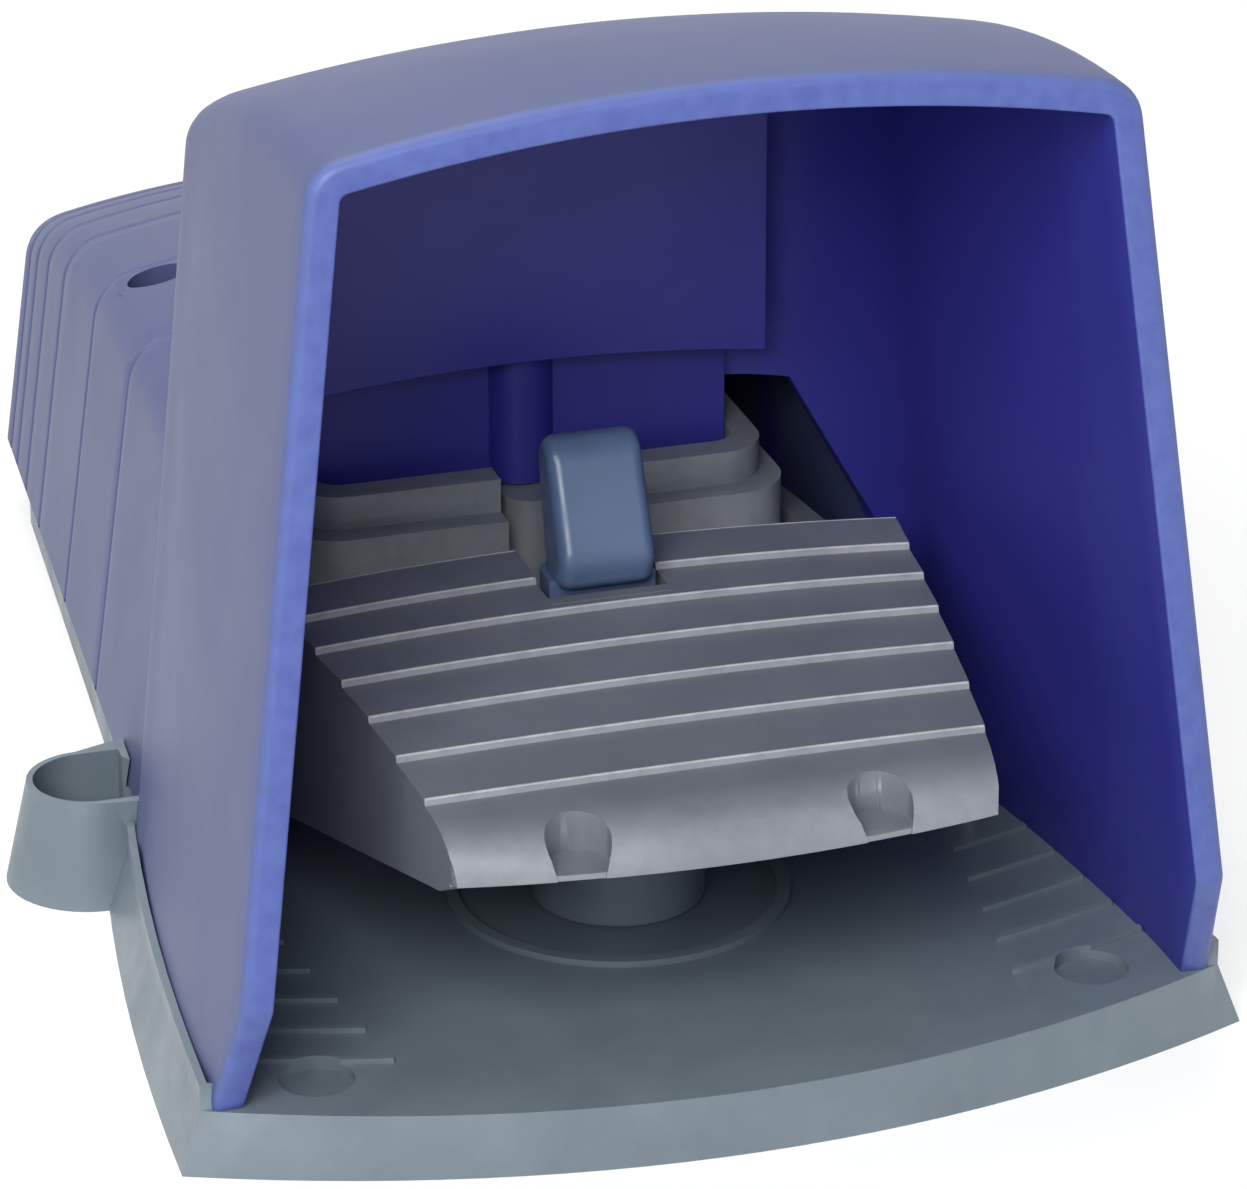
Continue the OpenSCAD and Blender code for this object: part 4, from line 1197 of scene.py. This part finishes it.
@dataclass
class Pedal:
    """The pedal with its stepped tread, and the shaft and rocker that turn with it."""

    datum: Datum
    half: float = 40.7
    flare: float = 8.6
    length: float = 68.0
    rear_z: float = 57.1
    tread_r: float = 245.0
    first_ridge: float = 7.5
    steps: int = 6
    step_h: float = 1.0
    slot_half: float = 9.3
    bead_r: float = 0.24
    notch_x: float = 22.4
    notch_y: float = -2.2
    notch_r: float = 4.85
    notch_floor: float = 0.9
    nose_z: float = 40.5
    nose_bow: float = 6.3
    slot_front: float = 53.7
    slot_lip: float = 56.0

    def tread(self, y: float) -> float:
        """Height of the tread's steps at y."""
        return self.rear_z - (self.length - y) ** 2 / (2 * self.tread_r)

    def side(self, y: float) -> float:
        """Half-width of the tread at y."""
        return self.half + self.flare * (y + 1) / (self.length + 1)

    def ridge(self, i: int, x: float) -> float:
        """Where step i's edge lies at x."""
        bow = 1 - (x / (self.half + self.flare)) ** 2
        base = self.first_ridge + (self.length - self.first_ridge) * i / self.steps
        return base + (1 + 4 * i / self.steps) * bow

    def nose(self, x: float) -> float:
        """Where the nose's lower edge lies at x."""
        return -0.5 - self.nose_bow * (1 - (x / (self.half + self.flare)) ** 2)

    def notch_floors(self) -> list[bpy.types.Object]:
        """The floors that close the two notches of the nose at its lower edge."""
        floors = []
        for side in (-1, 1):
            rim = circle((side * self.notch_x, self.notch_y), self.notch_r)
            plan = [(x, max(y, self.nose(x) + 0.15)) for x, y in rim]
            floors.append(prism("notch_floor", plan, self.nose_z + 0.05,
                                self.nose_z + self.notch_floor, "z", self.datum))
        return floors

    def slot_bridge(self) -> bpy.types.Object:
        """The stretch of tread ahead of the latch, under its overhanging foot."""
        z0 = self.tread(self.slot_front - 4) - 0.12
        section = [(self.slot_front - 0.2, z0), (self.slot_lip, z0 - 0.13),
                   (self.slot_lip, z0 - 2.6), (self.slot_front - 0.2, z0 - 2.6)]
        return prism("slot_bridge", section, -self.slot_half - 0.1, self.slot_half + 0.1, "x",
                     self.datum)

    def beads(self) -> bpy.types.Object:
        """The rounded, rubbed edges of the steps."""
        points: list[Point] = []
        chains: list[Flat] = []
        for i in range(self.steps + 1):
            base = self.first_ridge + (self.length - self.first_ridge) * i / self.steps
            edge = self.side(base) - 0.1
            slot = self.slot_half + 0.4 if base > 48 else 0.0
            runs = [(-edge, -slot), (slot, edge)] if slot else [(-edge, edge)]
            for start, end in runs:
                first = len(points)
                back = 0.45 if i < self.steps else -self.bead_r
                for x in spread(start, end, 30):
                    z = self.tread(base) - self.bead_r + 0.07
                    points.append(self.datum.place((x, self.ridge(i, x) + back, z)))
                chains += [(k, k + 1) for k in range(first, len(points) - 1)]
        return grow("tread_beads", bead_tree(), points, chains, {"Radius": self.bead_r * MM},
                    PEDAL_GREY)

    def dress(self) -> None:
        """Round and finish the pedal, its shaft, rocker and clips."""
        plate = copy_of("pedal", 0.35)
        carve(plate, self.notch_floors() + [self.slot_bridge()], "UNION")
        tidy(plate)
        even_out(plate, 40)
        # pale nose and step fronts: rubbed wear with painted light from the front lamp
        mark(plate, "wear", self.rub_and_light)
        dress(plate, PEDAL_GREY, "pedal", "pedal")
        beads = self.beads()
        # the step edges pale all over: rubbed wear with a painted highlight along each edge
        mark(beads, "wear", lambda points, normals: np.full(len(points), 1.0))
        dress(beads, PEDAL_GREY, "pedal")
        for node in ("pivot_shaft", "rocker", "rocker_pin", "shaft_clips", "latch_pin"):
            carried(node, ZINC)
        carried("pivot_bushes", BRASS)

    def rub_and_light(self, points: np.ndarray, normals: np.ndarray) -> np.ndarray:
        """Where shoes rub the pedal pale, with painted light where the faces turn to the front lamp:
        the rounding of the nose and the steps' front faces.
        """
        y = (points[:, 1] - self.datum.front_y) / MM
        nose = np.exp(-((y + 3.5) / 4.0) ** 2) * (normals[:, 1] < -0.2)
        risers = (normals[:, 1] < -0.6) * (normals[:, 2] > 0.05) * (y > 5)
        return 0.25 * nose + 0.35 * risers


@dataclass
class Latch:
    """The toe latch that has to be pushed back before the pedal goes down."""

    datum: Datum
    width: float = 14.8
    foot: Flat = (56.4, 56.3)
    crease: Flat = (54.9, 61.4)
    brow: Flat = (62.3, 76.6)
    crown: Flat = (65.8, 78.7)
    nape: Flat = (69.4, 75.6)
    heel: Flat = (64.4, 55.9)
    neck_front: float = 59.0
    barrel_z: float = 52.4
    rounding: float = 2.3

    def paddle(self) -> bpy.types.Object:
        """The leaning paddle, seen from the side as one outline."""
        outline = [self.foot, self.heel, self.nape, self.crown, self.brow, self.crease]
        obj = prism("latch_paddle", outline, -self.width / 2, self.width / 2, "x", self.datum)
        soften(obj, self.rounding, 6, 30)
        return obj

    def dress(self) -> None:
        """Build the latch: the paddle on the neck, barrel and tail of its solid."""
        lever = copy_of("latch_lever", 0.3)
        above = prism("above", [(40, self.foot[1] + 1.2), (90, self.foot[1] + 1.2), (90, 100),
                                (40, 100)], -20, 20, "x", self.datum)
        ahead = prism("ahead", [(40, self.barrel_z), (self.neck_front, self.barrel_z),
                                (self.neck_front, 70), (40, 70)], -20, 20, "x", self.datum)
        carve(lever, [above, ahead])
        carve(lever, [self.paddle()], "UNION")
        tidy(lever)
        even_out(lever, 50)
        dress(lever, LATCH_BLUE, "latch", "latch_lever")


@dataclass
class Springs:
    """The return spring under the pedal and the latch's small spring."""

    datum: Datum

    def dress(self) -> None:
        """Wind the return spring inside the box of the one it stands for, and finish the latch
        spring as it is.
        """
        tree = coil_tree()
        low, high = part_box("return_spring")
        wire = 0.002
        turns = 6.0
        base = (0.0, (low.y + high.y) / 2, low.z + wire / 2)
        spring = grow("return_coil", tree, [base], [],
                      {"Radius": (high.x - low.x - wire) / 2, "Wire": wire,
                       "Height": high.z - low.z - wire, "Turns": turns}, SPRING)
        dress(spring, SPRING, "base", "return_spring")
        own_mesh(spring)
        carried("latch_spring", SPRING)


@dataclass
class Fasteners:
    """The screws of the rear cover."""

    datum: Datum
    cover: RearCover

    def dress(self) -> None:
        """Set the cover's screws."""
        x, y = self.cover.screw
        spots = [self.datum.place((s * x, y, self.cover.recess_z)) for s in (-1, 1)]
        screws = grow("cover_screw_set", screw_tree(), spots, [],
                      {"Head": 0.004, "Rise": 0.0023, "Shank": 0.00175, "Length": 0.02,
                       "Slot": 0.001}, ZINC)
        dress(screws, ZINC, "base", "cover_screws")


# ---- stage ----------------------------------------------------------------------------------


@dataclass(frozen=True)
class Lamp:
    """A soft box: where it hangs, how big it is and how strong."""

    name: str
    place: Point
    size: float
    power: float
    tint: tuple[float, float, float] = (1.0, 1.0, 1.0)

    def hang(self, target: Vector) -> None:
        """Hang the lamp so that it faces a point."""
        data = bpy.data.lights.new(self.name, "AREA")
        data.shape = "SQUARE"
        data.size = self.size
        data.energy = self.power
        data.color = self.tint
        lamp = bpy.data.objects.new(self.name, data)
        lamp.location = self.place
        lamp.rotation_euler = (target - lamp.location).to_track_quat("-Z", "Y").to_euler()
        bpy.context.scene.collection.objects.link(lamp)


@dataclass
class Stage:
    """The camera, the lamps, the floor and the white surroundings."""

    eye: Point = (-0.25547, -0.87165, 0.43343)
    tilt_deg: float = 66.47
    turn_deg: float = -17.27
    lens: float = 184.45
    sensor: float = 36.0
    floor_tone: tuple[float, float, float, float] = (0.9, 0.9, 0.9, 1.0)
    ambient: float = 0.22

    def camera(self) -> None:
        """Make the camera."""
        data = bpy.data.cameras.new("camera")
        data.sensor_width = self.sensor
        data.lens = self.lens
        camera = bpy.data.objects.new("camera", data)
        camera.location = self.eye
        camera.rotation_euler = (math.radians(self.tilt_deg), 0.0, math.radians(self.turn_deg))
        bpy.context.scene.collection.objects.link(camera)
        bpy.context.scene.camera = camera

    def white_to_camera(self, tree: bpy.types.NodeTree, shader: bpy.types.NodeSocket,
                        output: bpy.types.NodeSocket, share: float) -> None:
        """Mix a shader with plain white where a camera, glossy or transmission ray meets it."""
        path = tree.nodes.new("ShaderNodeLightPath")
        total = path.outputs["Is Camera Ray"]
        for label in ("Is Glossy Ray", "Is Transmission Ray"):
            either = tree.nodes.new("ShaderNodeMath")
            either.operation = "MAXIMUM"
            tree.links.new(total, either.inputs[0])
            tree.links.new(path.outputs[label], either.inputs[1])
            total = either.outputs["Value"]
        part = tree.nodes.new("ShaderNodeMath")
        part.operation = "MULTIPLY"
        part.inputs[1].default_value = share
        tree.links.new(total, part.inputs[0])
        glow = tree.nodes.new("ShaderNodeEmission" if share < 1 else "ShaderNodeBackground")
        glow.inputs["Color"].default_value = (1, 1, 1, 1)
        glow.inputs["Strength"].default_value = 1.0
        mix = tree.nodes.new("ShaderNodeMixShader")
        tree.links.new(part.outputs["Value"], mix.inputs["Fac"])
        tree.links.new(shader, mix.inputs[1])
        tree.links.new(glow.outputs[0], mix.inputs[2])
        tree.links.new(mix.outputs["Shader"], output)

    def floor(self) -> None:
        """Lay the pale floor that keeps the object's shadow."""
        mesh = bpy.data.meshes.new("floor")
        reach = 3.0
        mesh.from_pydata([(-reach, -reach, 0), (reach, -reach, 0), (reach, reach, 0),
                          (-reach, reach, 0)], [], [[0, 1, 2, 3]])
        floor = bpy.data.objects.new("floor", mesh)
        bpy.context.scene.collection.objects.link(floor)
        material = bpy.data.materials.new("floor_white")
        material.use_nodes = True
        tree = material.node_tree
        shader = tree.nodes["Principled BSDF"]
        shader.inputs["Base Color"].default_value = self.floor_tone
        shader.inputs["Roughness"].default_value = 0.9
        shader.inputs["Specular IOR Level"].default_value = 0.1
        output = tree.nodes["Material Output"].inputs["Surface"]
        self.white_to_camera(tree, shader.outputs["BSDF"], output, 0.55)
        mesh.materials.append(material)

    def surroundings(self) -> None:
        """Light the world evenly, with white behind the object."""
        world = bpy.data.worlds.new("studio")
        bpy.context.scene.world = world
        world.use_nodes = True
        tree = world.node_tree
        back = tree.nodes["Background"]
        back.inputs["Color"].default_value = (0.93, 0.96, 1.0, 1.0)
        back.inputs["Strength"].default_value = self.ambient
        output = tree.nodes["World Output"].inputs["Surface"]
        self.white_to_camera(tree, back.outputs["Background"], output, 1.0)

    def lamps(self) -> None:
        """Hang the soft boxes."""
        target = Vector((0.0, -0.03, 0.07))
        for lamp in (
            Lamp("front_box", (-0.6, -1.1, 0.95), 0.8, 27.0),
            Lamp("left_box", (-1.3, 0.2, 0.8), 0.9, 4.0),
            Lamp("top_box", (-0.1, 0.4, 1.5), 1.2, 15.0),
            Lamp("right_box", (1.2, -0.6, 0.6), 0.8, 3.0),
        ):
            lamp.hang(target)

    def set_up(self) -> None:
        """Set up everything that isn't the object."""
        bpy.context.scene.view_settings.view_transform = "Standard"
        self.camera()
        self.floor()
        self.surroundings()
        self.lamps()


def main() -> None:
    """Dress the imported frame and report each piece."""
    logging.basicConfig(level=logging.INFO, format="%(message)s")
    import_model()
    datum = Datum.from_frame()
    Stage().set_up()
    hood = Hood(datum)
    cover = RearCover(datum, hood)
    for assembly in (hood, cover, Base(datum), Switching(datum), Pedal(datum), Latch(datum),
                     Springs(datum), Fasteners(datum, cover)):
        assembly.dress()


if __name__ == "__main__":
    main()
